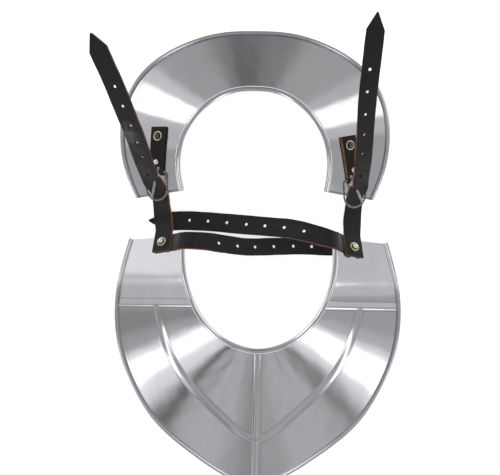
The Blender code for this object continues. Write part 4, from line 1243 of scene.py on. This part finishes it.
front = Plate(FRONT_ROWS, FRONT_RIM_RADIUS, FRONT_PLACE)
front.ribs = front.knots[front.middle + FRONT_RIB_ROW]
back = Plate(BACK_ROWS, BACK_RIM_RADIUS, BACK_PLACE)
layouts = {side.name: SideLayout(side, front, back) for side in SIDES}


def find_shift():
    """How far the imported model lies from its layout, from one washer's place in both."""
    low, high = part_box("washer_front_left")
    layout = layouts["left"]
    up = CROSS_LIFT + STACK_GAP + 2 * STRAP_THICK + GAP + WASHER_WIDEST
    return (low + high) / 2 - Vector(layout.front_point + layout.front_normal * up) * MM


SHIFT = find_shift()
SHIFT.z = 0.0

camera_data = bpy.data.cameras.new("camera")
camera = add_object("camera", camera_data)
camera_data.sensor_width = SENSOR_WIDTH
camera_data.lens = FOCAL_LENGTH / IMAGE_WIDTH * SENSOR_WIDTH
camera_data.clip_end = 30.0
camera.location = SHIFT + Vector((0.0, 0.0, CAMERA_HEIGHT))
bpy.context.scene.camera = camera

stand_for(build_plate("plate_front", front, FRONT_GRID, STEEL), "front_plate")
stand_for(build_plate("plate_back", back, BACK_GRID, STEEL), "back_plate")


def build_strap(name, which, strip, holes, bores, node):
    """A strap with its bores and its row of holes, left out of the plates' reflections."""
    strap = strap_mesh(name, which, strip)
    cutters = [bore_cutter("bore", *bore) for bore in bores]
    for number, place in enumerate(holes):
        centre, _, up, beside = strip.frame(place)
        centre = centre + beside * HOLES_ASIDE[which]
        cutters.append(hole_cutter(f"hole_{number}", centre, up, STRAP_HOLE_RADIUS, STRAP_THICK / 2))
    carve(strap, cutters)
    strap.visible_glossy = False
    stand_for(strap, node)


def build_side(name, layout):
    """One side's cross strap, shoulder strap, buckle, tab, rivets and washers."""
    point, normal = layout.front_point, layout.front_normal
    rivet_bore = (point, normal, RIVET_HOLE_RADIUS)
    cross = CROSS_OF_SIDE[name]
    strip, node = cross_strip(cross, layout), f"cross_strap_{cross}"
    build_strap(f"strap_cross_{cross}", cross, strip, CROSS_HOLES[cross], [rivet_bore], node)
    prong = prong_points(layout)
    base, tip = prong[len(HOOK_DEG) - 1], prong[-1]
    reach = np.linalg.norm(tip - base) / 2 + 1
    prong_bore = ((base + tip) / 2, unit(tip - base), PRONG_RADIUS + PRONG_CLEARANCE, reach)
    strip, node = layout.shoulder_strip(), f"shoulder_strap_{name}"
    bores = [rivet_bore, prong_bore]
    build_strap(f"strap_shoulder_{name}", name, strip, SHOULDER_HOLES[name], bores, node)
    build_prong(name, layout.buckle, prong)
    build_frame(name, layout.buckle)
    build_rivet(f"front_{name}", point, normal, CROSS_LIFT + STACK_GAP + 2 * STRAP_THICK, True)
    build_tab(name, layout)
    for level, (point, normal) in zip(("upper", "lower"), layout.tab_rivets):
        build_rivet(f"tab_{name}_{level}", point, normal, TAB_LIFT + TAB_THICK, level == "upper")


for name, layout in layouts.items():
    build_side(name, layout)

# Floor, light and surroundings, in metres
FLOOR_HALF = 4
FLOOR_DROP = 0.0004
TENT_DROP = 0.002
floor_mesh = bpy.data.meshes.new("floor")
corners = [(x * FLOOR_HALF, y * FLOOR_HALF, 0) for x, y in ((-1, -1), (1, -1), (1, 1), (-1, 1))]
floor_mesh.from_pydata(corners, [], [(0, 1, 2, 3)])
floor = add_object("floor", floor_mesh)
floor.location.z = -FLOOR_DROP
paper = Nodes("white_table", 0.0, 0.9)
paper.shader.inputs["Base Color"].default_value = (0.9, 0.9, 0.9, 1.0)
paper.shader.inputs["Emission Color"].default_value = (1.0, 1.0, 1.0, 1.0)
paper.shader.inputs["Emission Strength"].default_value = 0.6
floor_mesh.materials.append(paper.material)


def build_overhead(size=2.4, height=2.43, radiance=0.5):
    """A wide soft light straight above, left out of the plates' reflections."""
    data = bpy.data.lights.new("overhead", "AREA")
    data.shape = "RECTANGLE"
    data.size = data.size_y = size
    data.energy = radiance * size * size * math.pi
    light = add_object("overhead", data)
    light.location.z = height
    light.visible_glossy = False


# The light tent's cloth glows evenly except for these panels and dark flags: the azimuth of
# each one's middle, half its width, how soft its sides are, how low and high it reaches, all in
# degrees, and its brightness. Later ones hang in front of earlier ones.
Panel = namedtuple("Panel", "azimuth half soft low high glow")
CLOTH = 0.48
PANELS = [
    Panel(0, 180, 1, -5, 4, 0.24),
    Panel(0, 180, 1, 62, 95, 0.42),
    Panel(161, 21, 6, 14, 50, 0.65),
    Panel(152, 5, 5, 20, 28, 0.82),
    Panel(137, 7, 6, 2, 20, 1.08),
    Panel(122.5, 4, 3, 16, 34, 0.80),
    Panel(137.1, 9.8, 2, 25, 60, 2.0),
    Panel(89.5, 10.5, 8, 12, 95, 0.29),
    Panel(91.3, 1.8, 3, 12, 34, 0.17),
    Panel(53.5, 3.5, 3, 18, 34, 0.63),
    Panel(20, 9, 6, 18, 50, 0.68),
    Panel(36, 13, 6, 2, 25, 0.73),
    Panel(37.9, 10.4, 2, 24, 60, 1.6),
    Panel(327, 4, 5, 30, 50, 0.60),
    Panel(309.9, 12.1, 3, 20, 60, 0.97),
    Panel(310.2, 6.7, 1.5, 8, 60, 2.1),
    Panel(294, 1.4, 2, 20, 50, 0.22),
    Panel(288.3, 2, 3, 20, 50, 0.62),
    Panel(266, 7, 8, 20, 50, 0.38),
    Panel(251.2, 1.7, 2, 20, 50, 0.66),
    Panel(199, 10, 10, 33, 60, 0.35),
    Panel(231.2, 10.8, 3, 20, 60, 1.07),
    Panel(228.9, 4.9, 1.5, 8, 60, 2.1),
    Panel(246.1, 1.7, 2, 20, 50, 0.12),
]
SOFT_HEIGHT = 4.0
TENT_RADIUS = 4.0


def shade(inside, soft):
    """0 outside a panel and 1 inside, over a soft side."""
    share = min(1.0, max(0.0, inside / soft + 0.5))
    return share * share * (3 - 2 * share)


def glow(azimuth, elevation):
    """How bright the tent's cloth is in a direction."""
    value = CLOTH
    for panel in PANELS:
        aside = abs((azimuth - panel.azimuth + 180) % 360 - 180)
        share = shade(panel.half - aside, panel.soft)
        for inside in (elevation - panel.low, panel.high - elevation):
            share *= shade(inside, SOFT_HEIGHT)
        value += (panel.glow - value) * share
    return value


def build_tent():
    """A dome of plain cloth that glows more in some places than in others."""
    rings, turns = 60, 480
    places, values, faces = [], [], []
    for ring in range(rings + 1):
        elevation = 90 * ring / rings
        e = math.radians(elevation)
        for turn in range(turns):
            azimuth = 360 * turn / turns - 180
            a = math.radians(azimuth)
            toward = (math.cos(a) * math.cos(e), math.sin(a) * math.cos(e), math.sin(e))
            places.append([TENT_RADIUS * v for v in toward])
            values.append(glow(azimuth, elevation))
    for ring in range(rings):
        for turn in range(turns):
            after = (turn + 1) % turns
            low, high = ring * turns, (ring + 1) * turns
            faces.append((low + turn, low + after, high + after, high + turn))
    data = bpy.data.meshes.new("light_tent")
    data.from_pydata(places, [], faces)
    layer = data.attributes.new("glow", "FLOAT", "POINT")
    layer.data.foreach_set("value", values)
    tent = add_object("light_tent", data)
    tent.location = SHIFT + Vector((0.0, 0.0, -TENT_DROP))
    material = bpy.data.materials.new("tent_cloth")
    material.use_nodes = True
    tree = material.node_tree
    tree.nodes.clear()
    emission = tree.nodes.new("ShaderNodeEmission")
    emission.inputs["Color"].default_value = (1.0, 1.0, 1.0, 1.0)
    value = tree.nodes.new("ShaderNodeAttribute")
    value.attribute_name = "glow"
    tree.links.new(value.outputs["Fac"], emission.inputs["Strength"])
    tree.links.new(emission.outputs[0], tree.nodes.new("ShaderNodeOutputMaterial").inputs["Surface"])
    data.materials.append(material)
    tent.visible_camera = False


build_tent()
build_overhead()

world = bpy.data.worlds.new("room")
world.use_nodes = True
world.node_tree.nodes["Background"].inputs["Color"].default_value = (1.0, 1.0, 1.0, 1.0)
world.node_tree.nodes["Background"].inputs["Strength"].default_value = 1.0
bpy.context.scene.world = world
bpy.context.scene.view_settings.view_transform = "Standard"
